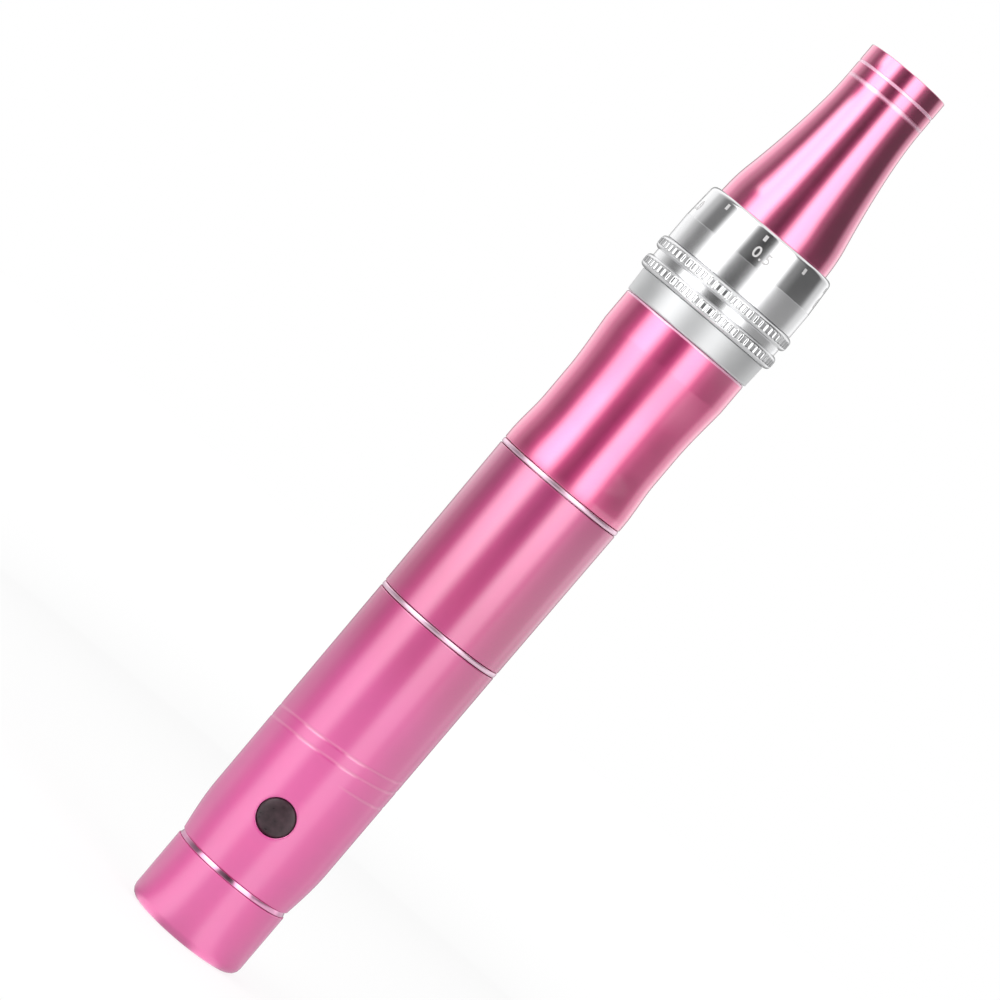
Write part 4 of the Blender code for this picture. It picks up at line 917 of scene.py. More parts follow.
@dataclass
class BatteryTube(Part):
    """The pink tube behind the middle, with its button hole and its fine lines."""

    tail_draw: float = 0.7 * MM
    tail_length: float = 7.5 * MM
    swell: float = 0.06 * MM
    row: float = 2.0 * MM
    hole_r: float = 2.72 * MM
    hole_rim: float = 0.22 * MM
    pocket_r: float = 3.32 * MM
    pocket_out: float = 8.9 * MM
    hole_cells: int = 8
    warped_cells: int = 15
    line_row: float = 0.055 * MM
    line_low: float = 28.0 * MM
    line_high: float = 36.0 * MM
    line_width: float = 0.7 * MM
    line_depth: float = 0.05 * MM
    line_bare: float = 0.24
    # Each line's first angle in degrees, first height, turns, lead and fading ends in turns.
    lines: tuple[tuple[float, ...], ...] = (
        (-150, 29.3 * MM, 1.05, 5.6 * MM, 0.2),
        (-140, 31.35 * MM, 0.68, 5.4 * MM, 0.12),
        (20, 29.66 * MM, 0.556, 3.1 * MM, 0.04),
    )

    def __post_init__(self) -> None:
        """Takes the tube's room and the button's place from the frame."""
        self.room = Room.of("battery_tube")
        low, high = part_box("button_cap")
        self.button_z = (low.z + high.z) / 2
        self.full_r = self.room.r - self.swell
        self.cell = self.full_r * math.tau / SHELL_SIDES

    def radius_at(self, z: float) -> float:
        """The tube's outer radius: drawn in at the tail, then nearly straight.

        Args:
            z: the height.

        Returns:
            The radius there.
        """
        start = self.room.low + self.rim
        share = (z - start) / self.tail_length
        if share < 1:
            return self.full_r - self.tail_draw * (1 - math.sin(QUARTER_TURN * max(share, 0)))
        along = (share - 1) * self.tail_length / (self.room.high - start - self.tail_length)
        return self.full_r + self.swell * along

    def build(self) -> None:
        """Makes the tube, with fine rows only where the hole and the lines need them."""
        low, high = self.room.low, self.room.high
        reach = self.warped_cells * self.cell
        near = (self.button_z - reach, self.button_z + reach)
        start, end = low + 2 * self.rim, high - 2 * self.rim
        levels = (start, *near, self.line_low, self.line_high, end)
        spacings = (self.row / 2, self.cell, self.row, self.line_row, self.row)
        outline = [
            Corner(self.tube_bore_r, low),
            Corner(self.radius_at(low), low, self.rim),
            Corner(self.radius_at(start), start),
        ]
        for first, last, spacing in zip(levels, levels[1:], spacings):
            outline += rows(self.radius_at, first, last, spacing)[1:]
        outline += [Corner(self.room.r, high, self.rim), Corner(self.tube_bore_r, high)]
        outline += rows(self.tube_bore_r, near[1], near[0], self.cell)
        bm = turn(outline)
        self.pierce(bm)
        size = (self.line_width, self.line_depth)
        grooves = [
            Helix(math.radians(angle), z, turns, lead, *size, fade, self.line_bare)
            for angle, z, turns, lead, fade in self.lines
        ]
        engrave(bm, grooves, self.tube_bore_r + self.rim)
        stand_in("battery_tube", bm, Body.PEN, PINK_SATIN)

    def is_outer(self, vert: Vert) -> bool:
        """Tells the corners of the tube's outer wall from those of its bore."""
        between = (self.tube_bore_r + self.full_r - self.tail_draw) / 2
        return math.hypot(vert.co.x, vert.co.y) > between

    def pierce(self, bm: BMesh) -> None:
        """Opens the button's hole: a square of cells goes, and its edge becomes a circle.

        Args:
            bm: the tube's mesh.
        """
        gone = []
        for face in bm.faces:
            middle = face.calc_center_median()
            column = math.atan2(middle.x, -middle.y) * self.full_r
            if max(abs(column), abs(middle.z - self.button_z)) < self.hole_cells * self.cell:
                gone.append(face)
        bmesh.ops.delete(bm, geom=gone, context="FACES")
        edges, pocket = [], []
        for edge in bm.edges:
            if edge.is_boundary:
                (edges if self.is_outer(edge.verts[0]) else pocket).append(edge)
        outer = self.hole_r + self.hole_rim
        for vert in bm.verts:
            if self.is_outer(vert):
                self.warp(vert, self.radius_at, outer)
            else:
                self.warp(vert, self.tube_bore_r, self.pocket_r)
        for step in range(1, FILLET_STEPS + 1):
            turned = QUARTER_TURN * step / FILLET_STEPS
            sunk = self.hole_rim * (1 - math.cos(turned))
            edges = self.step_in(bm, edges, outer - self.hole_rim * math.sin(turned), sunk)
        for radius in (self.hole_r, self.pocket_r):
            edges = self.step_in(bm, edges, radius)
        bmesh.ops.bridge_loops(bm, edges=edges + pocket)

    def warp(self, vert: Vert, radius: Radius, circle: float) -> None:
        """Moves a corner near the hole so that the square's edge becomes a circle.

        Args:
            vert: the corner.
            radius: the radius of the wall that it lies on.
            circle: the radius of the circle.
        """
        if vert.co.y > 0:
            return
        column = math.atan2(vert.co.x, -vert.co.y) * self.full_r / self.cell
        row = (vert.co.z - self.button_z) / self.cell
        ring = max(abs(column), abs(row))
        if not self.hole_cells - 1 < ring < self.warped_cells:
            return
        flat = Vector((vert.co.x, vert.co.z - self.button_z))
        share = (ring - self.hole_cells) / (self.warped_cells - self.hole_cells)
        on_circle = flat.normalized() * circle * ring / self.hole_cells
        moved = on_circle.lerp(flat, eased(0.0, 1.0, share))
        height = moved.y + self.button_z
        across = radius_of(radius, height)
        vert.co = (moved.x, -math.sqrt(across**2 - moved.x**2), height)

    def step_in(
        self, bm: BMesh, edges: list[Edge], circle: float, sunk: float | None = None
    ) -> list[Edge]:
        """Carries the hole's wall on to a next circle.

        Args:
            bm: the tube's mesh.
            edges: the wall's open edges.
            circle: the next circle's radius.
            sunk: how deep it lies under the tube's surface, or None for the pocket's flat end.

        Returns:
            The wall's new open edges.
        """
        made = bmesh.ops.extrude_edge_only(bm, edges=edges)["geom"]
        for vert in (item for item in made if isinstance(item, Vert)):
            across = Vector((vert.co.x, vert.co.z - self.button_z)).normalized() * circle
            height = across.y + self.button_z
            depth = self.pocket_out
            if sunk is not None:
                depth = math.sqrt((self.radius_at(height) - sunk) ** 2 - across.x**2)
            vert.co = (across.x, -depth, height)
        return [item for item in made if isinstance(item, Edge)]


@dataclass
class Button:
    """The round button on the tube's -Y side."""

    stem_r: float = 0.6 * MM
    stem_length: float = 0.3 * MM
    flange: float = 0.4 * MM
    cap_r: float = 2.64 * MM
    dome: float = 0.5 * MM
    edge: float = 0.4 * MM
    dome_steps: int = 10

    def build(self) -> None:
        """Turns the button upright and lays it down to face -Y."""
        low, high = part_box("button_cap")
        length = high.y - low.y
        rim = length - self.dome
        flange_top = self.stem_length + self.flange
        lifts = [QUARTER_TURN * step / self.dome_steps for step in range(1, self.dome_steps)]
        outline = [
            Corner(0, 0),
            Corner(self.stem_r, 0),
            Corner(self.stem_r, self.stem_length),
            Corner(high.x, self.stem_length, self.edge / 2),
            Corner(high.x, flange_top, self.edge / 2),
            Corner(self.cap_r, flange_top),
            Corner(self.cap_r, rim, self.edge),
        ]
        for lift in lifts:
            outline.append(Corner(self.cap_r * math.cos(lift), rim + self.dome * math.sin(lift)))
        outline.append(Corner(0, length))
        bm = turn(outline, INNER_SIDES)
        seat = Matrix.Translation((0, high.y, (low.z + high.z) / 2))
        lay = seat @ Matrix.Rotation(QUARTER_TURN, 4, "X")
        bmesh.ops.transform(bm, matrix=lay, verts=bm.verts)
        stand_in("button_cap", bm, Body.BUTTON, BUTTON_PLASTIC)


@dataclass
class JointRings(Part):
    """The two threaded rings that join the tubes, with their polished flanges."""

    flange: float = 0.5 * MM
    flange_growth: float = 0.12 * MM
    flange_edge: float = 0.22 * MM
    bore_r: float = 7.31 * MM
    shoulder_r: float = 6.51 * MM
    seat: float = 0.2 * MM
    lead: float = 0.75 * MM
    depth: float = 0.25 * MM
    thread_in: float = 0.5 * MM
    row: float = 0.1 * MM
    edge: float = 0.2 * MM

    def build(self) -> None:
        """Makes both rings, each with a shoulder for what it holds."""
        self.ring("rear_joint_ring", Room.of("control_board").high + self.seat)
        self.ring("front_joint_ring", Room.of("motor_mount").high + self.seat)

    def ring(self, node: str, shoulder: float) -> None:
        """Makes the ring of a node.

        Args:
            node: the CAD node's name.
            shoulder: the height of the step in its bore.
        """
        room = Room.of(node)
        flange = room.low + self.reach - self.flange_growth
        top = flange + self.flange + 2 * self.flange_growth
        outline = [
            Corner(self.bore_r, room.low),
            Corner(self.spigot_r - self.edge, room.low),
            *rows(self.spigot_r, room.low + self.edge, flange, self.row),
            Corner(room.r, flange, self.flange_edge),
            Corner(room.r, top, self.flange_edge),
            *rows(self.spigot_r, top, room.high - self.edge, self.row),
            Corner(self.spigot_r - self.edge, room.high),
            Corner(self.shoulder_r, room.high),
            Corner(self.shoulder_r, shoulder),
            Corner(self.bore_r, shoulder),
        ]
        bm = turn(outline)
        length = self.reach - 2 * self.thread_in
        threads = [
            Helix.thread(start + self.thread_in, length, self.lead, self.depth)
            for start in (room.low, top)
        ]
        engrave(bm, threads, self.spigot_r - self.edge / 2)
        stand_in(node, bm, Body.PEN, POLISHED)


@dataclass
class MiddleTube(Part):
    """The plain pink tube in the middle, which widens a little forwards."""

    swell: float = 0.14 * MM

    def build(self) -> None:
        """Makes the tube."""
        room = Room.of("middle_tube")
        outline = [
            Corner(self.tube_bore_r, room.low),
            Corner(room.r - self.swell, room.low, self.rim),
            Corner(room.r, room.high, self.rim),
            Corner(self.tube_bore_r, room.high),
        ]
        stand_in("middle_tube", turn(outline), Body.PEN, PINK_MIDDLE)


@dataclass
class FrontHousing(Part):
    """The waisted grip section, with a straight polished band at its front."""

    front_rim: float = 0.26 * MM
    back_drop: float = 0.13 * MM
    waist_drop: float = 0.54 * MM
    waist_from: float = 1.1 * MM
    waist_start: float = 7.6 * MM
    waist_end: float = 12.2 * MM
    band: float = 4.7 * MM
    band_slope: float = math.tan(math.radians(4.6))
    bore_r: float = 7.6 * MM
    mouth_r: float = 8.41 * MM
    seat: float = 0.2 * MM
    row: float = 0.35 * MM

    def build(self) -> None:
        """Makes the housing as its waist and its band."""
        room = Room.of("front_housing")
        step = Room.of("guide_tube").low - self.seat
        joint = room.low + self.reach
        waist_r = room.r - self.waist_drop
        back_r = room.r - self.back_drop
        band = room.high - self.band
        waist = (room.low + self.waist_start, room.low + self.waist_end)
        start = room.low + self.waist_from
        polished = room.high - self.front_rim

        def radius_at(z: float) -> float:
            """The radius between the back end and the band."""
            if z < waist[0]:
                return eased(back_r, waist_r, (z - start) / (waist[0] - start))
            flare = band - waist[1]
            return eased(waist_r, room.r, (z - waist[1]) / flare, self.band_slope * flare)

        outline = [
            Corner(self.tube_bore_r, room.low),
            Corner(back_r, room.low, self.rim),
            *rows(radius_at, start, band, self.row),
            Corner(room.r, polished - self.rim),
            Corner(room.r, room.high, self.front_rim),
            Corner(self.mouth_r, room.high),
            Corner(self.mouth_r, step),
            Corner(self.bore_r, step),
            Corner(self.bore_r, joint),
            Corner(self.tube_bore_r, joint),
        ]
        bm = turn(outline)
        strip_dye(bm, [(polished, room.high)])
        stand_in("front_housing", bm, Body.PEN, PINK_POLISHED)


@dataclass
class Collar(Part):
    """The satin collar that carries the dial, with its seal."""

    foot_r: float = 8.21 * MM
    collar_drop: float = 0.18 * MM
    chamfer: float = 0.25 * MM
    stem_r: float = 7.7 * MM
    bore_r: float = 6.3 * MM
    seat: float = 0.05 * MM
    clip_groove_r: float = 7.1 * MM
    clip_play: float = 0.1 * MM

    def build(self) -> None:
        """Makes the collar and the seal on its stem."""
        room = Room.of("front_collar")
        seal = Room.of("dial_o_ring")
        clip = Room.of("dial_circlip")
        bottom = Room.of("front_housing").high + self.seat
        top = Room.of("knurled_grip").low - self.seat
        seal_groove = (seal.r - seal.length - self.rim, seal.low - self.rim, seal.high + self.rim)
        clip_groove = (self.clip_groove_r, clip.low - self.clip_play, clip.high + self.clip_play)
        outline = [
            Corner(self.bore_r, room.low),
            Corner(self.foot_r, room.low, self.rim),
            Corner(self.foot_r, bottom),
            Corner(room.r - self.collar_drop, bottom, self.chamfer),
            Corner(room.r, top, self.rim),
            Corner(self.stem_r, top),
            *notch(self.stem_r, *seal_groove),
            *notch(self.stem_r, *clip_groove),
            Corner(self.stem_r, room.high, self.rim),
            Corner(self.bore_r, room.high),
        ]
        stand_in("front_collar", turn(outline), Body.PEN, SATIN)
        stand_in("dial_o_ring", o_ring(seal), Body.PEN, RUBBER)


@dataclass
class Grip:
    """The knurled ring that turns the dial: two bands of teeth and a neck."""

    teeth: int = 66
    columns_per_tooth: int = 12
    bore_r: float = 9.9 * MM
    band: float = 2.1 * MM
    neck_depth: float = 0.65 * MM
    bead: float = 0.75 * MM
    row: float = 0.07 * MM
    depth: float = 0.16 * MM
    rim: float = 0.46 * MM
    rim_fade: float = 0.2 * MM
    gap_share: float = 0.45
    flank_share: float = 0.22

    def build(self) -> None:
        """Turns the ring, whose bands have round rims, and presses its teeth in."""
        room = Room.of("knurled_grip")
        neck_r = room.r - self.neck_depth
        bands = [(room.low, room.low + self.band), (room.high - self.band, room.high)]
        outline = [Corner(self.bore_r, room.low)]
        for low, high in bands:

            def radius_at(z: float, low: float = low, high: float = high) -> float:
                """The band's radius before it is knurled."""
                out = max(0.0, 1 - min(z - low, high - z) / self.bead)
                return room.r - self.bead * (1 - math.sqrt(1 - min(out, 1.0) ** 2))

            band = rows(radius_at, low, high, self.row)
            outline += [Corner(max(corner.r, neck_r), corner.z) for corner in band]
        outline.append(Corner(self.bore_r, room.high))
        bm = turn(outline, self.teeth * self.columns_per_tooth)
        for vert in bm.verts:
            across = math.hypot(vert.co.x, vert.co.y)
            if across >= neck_r - WELD:
                sink(vert, self.depth * self.gap_at(vert.co, bands) / across)
        stand_in("knurled_grip", bm, Body.DIAL, CHROME)

    def gap_at(self, spot: Vector, bands: list[tuple[float, float]]) -> float:
        """How deep the gap between two teeth is at a spot.

        Args:
            spot: the spot.
            bands: the lowest and the highest height of each band of teeth.

        Returns:
            A share from 0 to 1.
        """
        turned = (math.atan2(spot.x, -spot.y) / math.tau * self.teeth) % 1.0
        flank = (self.gap_share / 2 + self.flank_share - abs(turned - 0.5)) / self.flank_share
        inside = max(min(spot.z - low, high - spot.z) for low, high in bands)
        return eased(0.0, 1.0, flank) * eased(0.0, 1.0, (inside - self.rim) / self.rim_fade)


@dataclass
class Dial(Part):
    """The depth dial with its ticks and numbers."""

    bore_r: float = 8.5 * MM
    skirt_r: float = 9.7 * MM
    seat: float = 0.04 * MM
    lower: float = 3.96 * MM
    step: float = 0.025 * MM
    taper: float = 0.335 * MM
    lip: float = 0.7 * MM
    mouth_r: float = 9.27 * MM
    thread_r: float = 8.6 * MM
    web_r: float = 7.9 * MM
    web: tuple[float, float] = (110.2 * MM, 111.6 * MM)
    mouth_floor: float = 116.8 * MM
    tick_step: float = math.radians(40)
    tick_size: tuple[float, float] = (0.47 * MM, 0.85 * MM)
    tick_z: float = 120.95 * MM
    front_tick: int = 2
    ticks_per_number: int = 2
    numbers: tuple[str, ...] = ("0", "0.5", "1.0", "1.5", "2.0")
    number_z: float = 118.15 * MM
    number_height: float = 1.6 * MM
    number_width: float = 1.0 * MM
    number_weight: float = 0.03 * MM
    number_aside: float = 0.2 * MM
    number_spacing: float = 1.1
    capital_share: float = 0.73
    inlay: float = 0.02 * MM
    slice_width: float = 0.2 * MM

    def __post_init__(self) -> None:
        """Takes the dial's room from the frame."""
        self.room = Room.of("depth_dial")
        self.low = Room.of("knurled_grip").high + self.seat
        self.middle = self.low + self.lower

    def radius_at(self, z: float) -> float:
        """The radius of the tapered upper zone at a height."""
        start = self.middle + self.step
        share = (z - start) / (self.room.high - start)
        return self.room.r - self.step - self.taper * share

    def build(self) -> None:
        """Makes the dial and its marks."""
        room = self.room
        outline = [
            Corner(self.bore_r, room.low),
            Corner(self.skirt_r, room.low),
            Corner(self.skirt_r, self.low),
            Corner(room.r, self.low, self.rim),
            Corner(room.r, self.middle),
            Corner(room.r - self.step, self.middle + self.step),
            Corner(room.r - self.step - self.taper, room.high, self.lip),
            Corner(self.mouth_r, room.high, self.rim / 2),
            Corner(self.mouth_r, self.mouth_floor),
            Corner(self.thread_r, self.mouth_floor),
            Corner(self.thread_r, self.web[1]),
            Corner(self.web_r, self.web[1]),
            Corner(self.web_r, self.web[0]),
            Corner(self.bore_r, self.web[0]),
        ]
        stand_in("depth_dial", turn(outline), Body.DIAL, DIAL_CHROME)
        marks = bmesh.new()
        for index in range(self.ticks_per_number * (len(self.numbers) - 1) + 1):
            angle = self.tick_step * (self.front_tick - index)
            tick = block((*self.tick_size, 2 * self.inlay), (0, 0, 0))
            self.wrap(marks, tick, angle, self.tick_z)
            if index % self.ticks_per_number == 0:
                number = self.number(self.numbers[index // self.ticks_per_number])
                self.wrap(marks, number, angle, self.number_z)
        place("dial_marks", marks, Body.DIAL, MARK_FILL)

    def number(self, text: str) -> BMesh:
        """A flat number in slices narrow enough to bend, whose first digit stands at X = 0.

        Args:
            text: the number.

        Returns:
            Its solid shape, with its face towards +Z.
        """
        curve = bpy.data.curves.new("number", "FONT")
        curve.body = text
        curve.size = self.number_height / self.capital_share
        curve.offset = self.number_weight
        curve.space_character = self.number_spacing
        carrier = put("number", curve)
        bm = shape_of(carrier)
        bpy.data.objects.remove(carrier)
        bpy.data.curves.remove(curve)
        aside = self.number_aside - self.number_width / 2
        bmesh.ops.translate(bm, verts=bm.verts, vec=(aside, 0, -self.inlay))
        width = max(vert.co.x for vert in bm.verts)
        cut = self.slice_width + aside
        while cut < width:
            everything = bm.verts[:] + bm.edges[:] + bm.faces[:]
            bmesh.ops.bisect_plane(bm, geom=everything, plane_co=(cut, 0, 0), plane_no=(1, 0, 0))
            cut += self.slice_width
        raised = bmesh.ops.extrude_face_region(bm, geom=bm.faces[:])["geom"]
        verts = [item for item in raised if isinstance(item, Vert)]
        bmesh.ops.translate(bm, verts=verts, vec=(0, 0, 2 * self.inlay))
        return bm

    def wrap(self, marks: BMesh, bm: BMesh, angle: float, z: float) -> None:
        """Bends a flat mark round the dial and adds it to the marks.

        Args:
            marks: what the mark is added to.
            bm: the mark, flat, with its height as Z; it is used up.
            angle: where its middle goes.
            z: the height of its zero line.
        """
        for vert in bm.verts:
            height = z + vert.co.y
            across = self.radius_at(height)
            turned = angle + vert.co.x / across
            across += vert.co.z
            vert.co = (across * math.sin(turned), -across * math.cos(turned), height)
        bmesh.ops.remove_doubles(bm, verts=bm.verts, dist=WELD)
        mesh = mesh_of("mark", bm)
        marks.from_mesh(mesh)
        bpy.data.meshes.remove(mesh)


@dataclass
class Nose(Part):
    """The nose cone, its cartridge socket and the head of the needle rod."""

    base_bore_r: float = 7.8 * MM
    base_r: float = 8.9 * MM
    base_visible: float = 3.0 * MM
    tip_r: float = 6.25 * MM
    tip_bore_r: float = 5.3 * MM
    power: float = 1.5
    curve_length: float = 18.7 * MM
    softening: float = 1.5 * MM
    row: float = 0.4 * MM
    groove_width: float = 0.48 * MM
    groove_depth: float = 0.06 * MM
    grooves_from_end: tuple[float, float] = (5.02 * MM, 2.72 * MM)
    core_top_r: float = 5.7 * MM
    core_seat_top: float = 124.1 * MM
    socket_bore_r: float = 4.3 * MM
    socket_hole_r: float = 1.9 * MM
    socket_floor: float = 1.5 * MM
    slot_width: float = 1.6 * MM
    slot_length: float = 5.0 * MM
    rod_r: float = 1.0 * MM
    rod_head: float = 2.4 * MM

    def build(self) -> None:
        """Makes the three pieces."""
        self.build_cone()
        self.build_socket()
        self.build_rod()

    def build_cone(self) -> None:
        """Makes the cone: a hidden skirt, a concave taper and two bare grooves."""
        room = Room.of("nose_cone")
        base = Room.of("depth_dial").high
        curve = base + self.base_visible
        end = curve + self.curve_length + self.softening

        def plain_at(z: float) -> float:
            """The radius of the straight base and of the taper that follows it."""
            share = min((z - curve) / self.curve_length, 1.0)
            if share < 0:
                return self.base_r + (room.r - self.base_r) * (curve - z) / self.base_visible
            return self.tip_r + (self.base_r - self.tip_r) * (1 - share) ** self.power

        def radius_at(z: float) -> float:
            """The radius with the corner between the two softened."""
            steps = range(-FILLET_STEPS, FILLET_STEPS + 1)
            near = [plain_at(z + self.softening * step / FILLET_STEPS) for step in steps]
            return min(sum(near) / len(near), room.r)

        starts = [room.high - from_end - self.groove_width / 2 for from_end in self.grooves_from_end]
        depth = self.groove_depth
        grooves = [
            notch(self.tip_r, self.tip_r - depth, start, start + self.groove_width, depth)
            for start in starts
        ]
        outline = [
            Corner(self.base_bore_r, room.low),
            Corner(room.r, room.low, self.rim),
            *rows(radius_at, base, end, self.row),
            *[corner for groove in grooves for corner in groove],
            Corner(self.tip_r, room.high, self.rim),
            Corner(self.tip_bore_r, room.high, self.rim),
            Corner(self.tip_bore_r, Room.of("cartridge_socket").low + self.socket_floor),
            Corner(self.core_top_r, Room.of("nose_core").high),
            Corner(self.base_bore_r, self.core_seat_top),
        ]
        bm = turn(outline)
        strip_dye(bm, [(groove[1].z, groove[2].z) for groove in grooves])
        stand_in("nose_cone", bm, Body.NOSE, PINK_NOSE)

    def build_socket(self) -> None:
        """Makes the socket, with a bayonet slot on each side."""
        room = Room.of("cartridge_socket")
        floor = room.low + self.socket_floor
        outline = [
            Corner(self.socket_hole_r, room.low),
            Corner(room.r, room.low, self.rim),
            Corner(room.r, room.high, self.rim),
            Corner(self.socket_bore_r, room.high, 2 * self.rim),
            Corner(self.socket_bore_r, floor, 2 * self.rim),
            Corner(self.socket_hole_r, floor, self.rim),
        ]
        cutter = block((3 * room.r, self.slot_width, 2 * self.slot_length), (0, 0, room.high))
        bm = carved(turn(outline, INNER_SIDES), cutter)
        stand_in("cartridge_socket", bm, Body.NOSE, WHITE_PLASTIC)

    def build_rod(self) -> None:
        """Makes the needle rod, whose head shows deep in the socket."""
        room = Room.of("drive_rod")
        neck = room.high - self.rod_head
        outline = [
            Corner(0, room.low),
            Corner(self.rod_r, room.low, self.rim),
            Corner(self.rod_r, neck),
            Corner(room.r, neck, self.rim),
            Corner(room.r, room.high, 2 * self.rim),
            Corner(0, room.high),
        ]
        stand_in("drive_rod", turn(outline, INNER_SIDES), Body.PLUNGER, STEEL)


@dataclass
class ReturnSpring:
    """The spring over the needle rod, which shortens while the rod moves forwards."""

    node: str = "return_spring"
    joint: str = "rod_stroke"
    stroke: float = 2.5 * MM

    def build(self) -> None:
        """Gives the solid's shape, welded, to a finished piece with a mesh of its own."""
        room = Room.of(self.node)
        bm = bmesh.new()
        bm.from_mesh(frame["nodes"][self.node].data)
        bmesh.ops.remove_doubles(bm, verts=bm.verts, dist=WELD)
        piece = stand_in(self.node, bm, Body.PEN, STEEL)
        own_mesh(piece)


@dataclass
class Inside:
    """The pieces inside the pen, which keep their solids."""

    finishes: tuple[Finish, ...] = INNER_FINISHES

    def build(self) -> None:
        """Gives each solid that still shows the finish of its slot."""
        by_slot = {finish.slot.value: finish for finish in self.finishes}
        for row in frame["record"]["subparts"]:
            node = frame["nodes"][row["node"]]
            if node.hide_render:
                continue
            finish = by_slot[row["material_slot"]]
            node.data.materials.clear()
            node.data.materials.append(material_of(finish))
            LOG.info("%s keeps its solid, with %s", node.name, finish.name)


@dataclass(frozen=True)
class Glow:
    """Light in the tent's cloth: a profile round the pen times one over its height.

    Attributes:
        brightest: the radiance where both profiles are 1.
        angles: angles from -180 to 180 degrees, each with its share of the brightest.
        heights: heights, each with its share.
    """

    brightest: float
    angles: Stops
    heights: Stops


BANDS = Glow(
    2.7,
    (
        (-180, 0.12), (-165, 0.12), (-150, 0.46), (-128, 0.40), (-112, 0.22), (-92, 0.08),
        (-77, 0.07), (-56, 0.88), (-38, 1.0), (-18, 0.07), (0, 0.025), (7, 0.045),
        (23, 0.88), (40, 0.80), (58, 0.10), (76, 0.045), (108, 0.045), (126, 0.26),
        (150, 0.44), (165, 0.12), (180, 0.12),
    ),
    ((0.0, 0.25), (0.022, 0.34), (0.037, 0.52), (0.057, 0.78), (0.073, 0.92), (0.087, 1.0)),
)
LOW_GLOW = Glow(
    1.0,
    (
        (-180, 0.5), (-135, 0.6), (-110, 1.0), (-80, 0.7), (-50, 1.0), (115, 1.0), (138, 0.6),
        (180, 0.5),
    ),
    ((0.0, 0.63), (0.022, 0.46), (0.037, 0.22), (0.057, 0.09), (0.08, 0.0)),
)
SIDE_GLOW = Glow(
    1.0,
    ((-180, 0.0), (45, 0.0), (64, 1.0), (116, 1.0), (140, 0.2), (180, 0.0)),
    (
        (0.0, 0.0), (0.02, 0.26), (0.035, 0.48), (0.05, 0.60), (0.065, 0.55), (0.08, 0.18),
        (0.1, 0.15), (0.106, 0.38), (0.11, 0.22), (0.121, 0.30), (0.129, 0.16), (0.14, 0.0),
    ),
)
HIGH_GLOW = Glow(
    1.6,
    ((-180, 0.0), (-88, 0.0), (-71, 1.0), (-54, 0.0), (180, 0.0)),
    ((0.0, 0.0), (0.162, 0.0), (0.18, 1.0), (0.32, 1.0)),
)


@dataclass
class LightTent:
    """A cylinder of translucent white cloth round the pen, lit from outside.

    Its light comes through in tall soft bands. The camera doesn't see it.

    Attributes:
        facing: the angle that the bands' places are measured from.
        r: the tent's radius.
        height: its height.
        mat_bore: the radius of the round opening in the mat on which it stands.
        mat_rise: how high the mat lies over the floor.
        mat_shade: how much of the mat's light is left at the opening.
        mat_clear: the radius from which all of it is there.
        glows: what shines in the cloth.
    """

    facing: float
    r: float = 0.2
    height: float = 0.32
    mat_bore: float = 0.0078
    mat_rise: float = 0.05 * MM
    mat_shade: float = 0.9
    mat_clear: float = 0.026
    glows: tuple[Glow, ...] = (BANDS, LOW_GLOW, SIDE_GLOW, HIGH_GLOW)

    def build(self) -> None:
        """Makes the tent's wall and its mat."""
        material = self.cloth()
        wall = self.sheet("tent_wall", material, (self.r, 0.0), (self.r, self.height))
        mat_ends = ((self.mat_bore, self.mat_rise), (self.r, self.mat_rise))
        mat = self.sheet("tent_mat", material, *mat_ends)
        mat.visible_diffuse = False
        mat.visible_shadow = False
        for piece in (wall, mat):
            piece.visible_camera = False

    def cloth(self) -> bpy.types.Material:
        """The glowing cloth."""
        graph = Graph("tent_cloth")
        own = graph.places()
        angle = graph.reckon("ARCTAN2", own["X"], graph.reckon("MULTIPLY", own["Y"], -1.0))
        total = 0.0
        for glow in self.glows:
            round_pen = graph.levels(angle, self.turned(glow.angles))
            along_pen = graph.levels(own["Z"], glow.heights)
            share = graph.reckon("MULTIPLY", round_pen, along_pen)
            total = graph.reckon("MULTIPLY_ADD", share, glow.brightest, total)
        crosswise = graph.reckon("MULTIPLY", own["Y"], own["Y"])
        squared = graph.reckon("MULTIPLY_ADD", own["X"], own["X"], crosswise)
        stops = ((self.mat_bore**2, self.mat_shade), (self.mat_clear**2, 1.0))
        strength = graph.reckon("MULTIPLY", total, graph.levels(squared, stops))
        return graph.become(graph.node("Emission", {"Strength": strength}).outputs[0])

    def turned(self, stops: Stops) -> Stops:
        """Turns a profile with the tent; its two ends, at the back, stay.

        Args:
            stops: angles in degrees, each with its level.

        Returns:
            The turned angles in radians, each with its level.
        """
        plain = [(math.radians(degrees), share) for degrees, share in stops]
        inner = [(radians + self.facing, share) for radians, share in plain[1:-1]]
        return [plain[0], *inner, plain[-1]]

    def sheet(
        self, name: str, material: bpy.types.Material, *ends: tuple[float, float]
    ) -> bpy.types.Object:
        """Spins a line round the pen's axis into a sheet.

        Args:
            name: the sheet's name.
            material: its material.
            ends: the radius and height of each of the line's two ends.

        Returns:
            The sheet's object.
        """
        bm = bmesh.new()
        bm.edges.new([bm.verts.new((radius, 0, height)) for radius, height in ends])
        spin(bm, math.tau, INNER_SIDES, use_merge=True)
        mesh = mesh_of(name, bm)
        mesh.materials.append(material)
        return put(name, mesh)


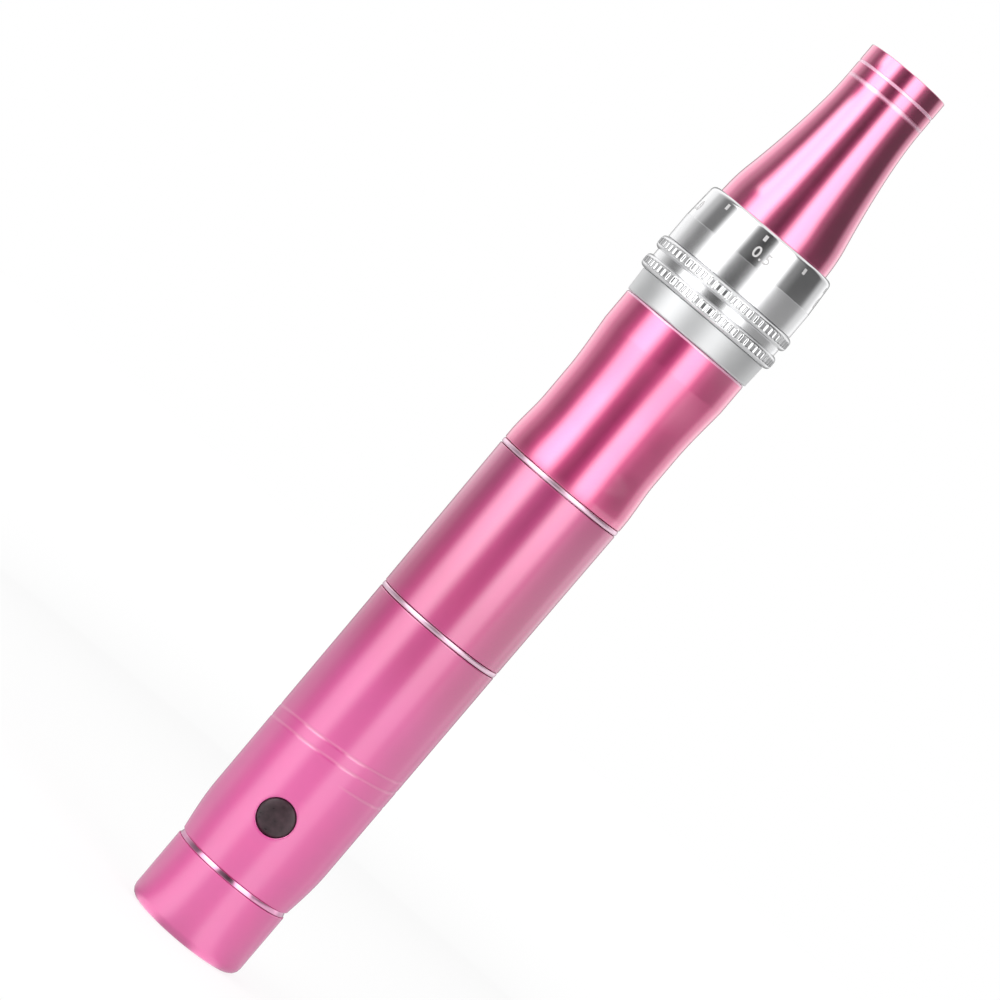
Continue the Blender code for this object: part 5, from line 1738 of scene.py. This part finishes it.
@dataclass
class Studio:
    """The floor, the light tent, the world and the camera."""

    floor_r: float = 0.75
    floor_white: float = 0.85
    floor_shaded: float = 0.18
    floor_glow: float = 0.84
    target: tuple[float, float] = (-0.00494, 0.07184)
    azimuth: float = math.radians(2.6)
    distance: float = 0.7
    elevation: float = math.radians(2.4)
    lean: float = math.radians(49.77)
    view_height: float = 0.1333
    sensor: float = 36.0
    clip_ratio: float = 100.0

    def build(self) -> None:
        """Sets the whole studio up."""
        self.build_world()
        self.build_floor()
        LightTent(self.azimuth).build()
        self.build_camera()

    def build_world(self) -> None:
        """A white surrounding."""
        world = bpy.data.worlds.new("white_room")
        world.use_nodes = True
        background = world.node_tree.nodes["Background"]
        background.inputs["Color"].default_value = (1.0, 1.0, 1.0, 1.0)
        background.inputs["Strength"].default_value = 1.0
        bpy.context.scene.world = world
        bpy.context.scene.view_settings.view_transform = "Standard"

    def build_floor(self) -> None:
        """A round white floor, on which the camera still sees a faint shadow."""
        bm = bmesh.new()
        bmesh.ops.create_circle(bm, cap_ends=True, radius=self.floor_r, segments=SHELL_SIDES)
        mesh = mesh_of("floor", bm)
        graph = Graph("white_floor")
        glow = graph.node("Emission", {"Strength": self.floor_glow}).outputs[0]
        both = graph.node("AddShader", {0: self.matt(graph, self.floor_shaded), 1: glow})
        rays = graph.node("LightPath").outputs
        mirrored = graph.reckon("MAXIMUM", rays["Is Glossy Ray"], rays["Is Transmission Ray"])
        share = graph.reckon("MAXIMUM", rays["Is Camera Ray"], mirrored)
        plain = self.matt(graph, self.floor_white)
        mix = graph.node("MixShader", {0: share, 1: plain, 2: both.outputs[0]})
        mesh.materials.append(graph.become(mix.outputs[0]))
        put("floor", mesh)

    def matt(self, graph: Graph, grey: float) -> Socket:
        """A matt grey surface."""
        return graph.node("BsdfDiffuse", {"Color": (grey, grey, grey)}).outputs[0]

    def build_camera(self) -> None:
        """Stands the camera where the photograph was taken, leaning with the pen."""
        camera = bpy.data.cameras.new("camera")
        camera.sensor_width = self.sensor
        camera.lens = self.sensor * self.distance / self.view_height
        camera.clip_start = self.distance / self.clip_ratio
        camera.clip_end = self.distance * self.clip_ratio
        turned = Matrix.Rotation(self.azimuth, 3, "Z")
        back = turned @ Vector((0, -math.cos(self.elevation), math.sin(self.elevation)))
        upright = turned @ Vector((0, math.sin(self.elevation), math.cos(self.elevation)))
        sideways = turned @ Vector((1, 0, 0))
        right = sideways * math.sin(self.lean) + upright * math.cos(self.lean)
        up = upright * math.sin(self.lean) - sideways * math.cos(self.lean)
        stand = Matrix((right, up, back)).transposed().to_4x4()
        aside, height = self.target
        stand.translation = sideways * aside + back * self.distance
        stand.translation.z += height
        holder = put("camera", camera)
        holder.matrix_world = stand
        bpy.context.scene.camera = holder


def main() -> None:
    """Builds the pen from its tail to its tip, then the studio."""
    logging.basicConfig(level=logging.INFO, format="%(name)s: %(message)s")
    parts = (
        TailCap, BatteryTube, Button, JointRings, MiddleTube, FrontHousing, Collar, Grip, Dial,
        Nose, ReturnSpring, Inside, Studio,
    )
    for part in parts:
        part().build()


if __name__ == "__main__":
    main()
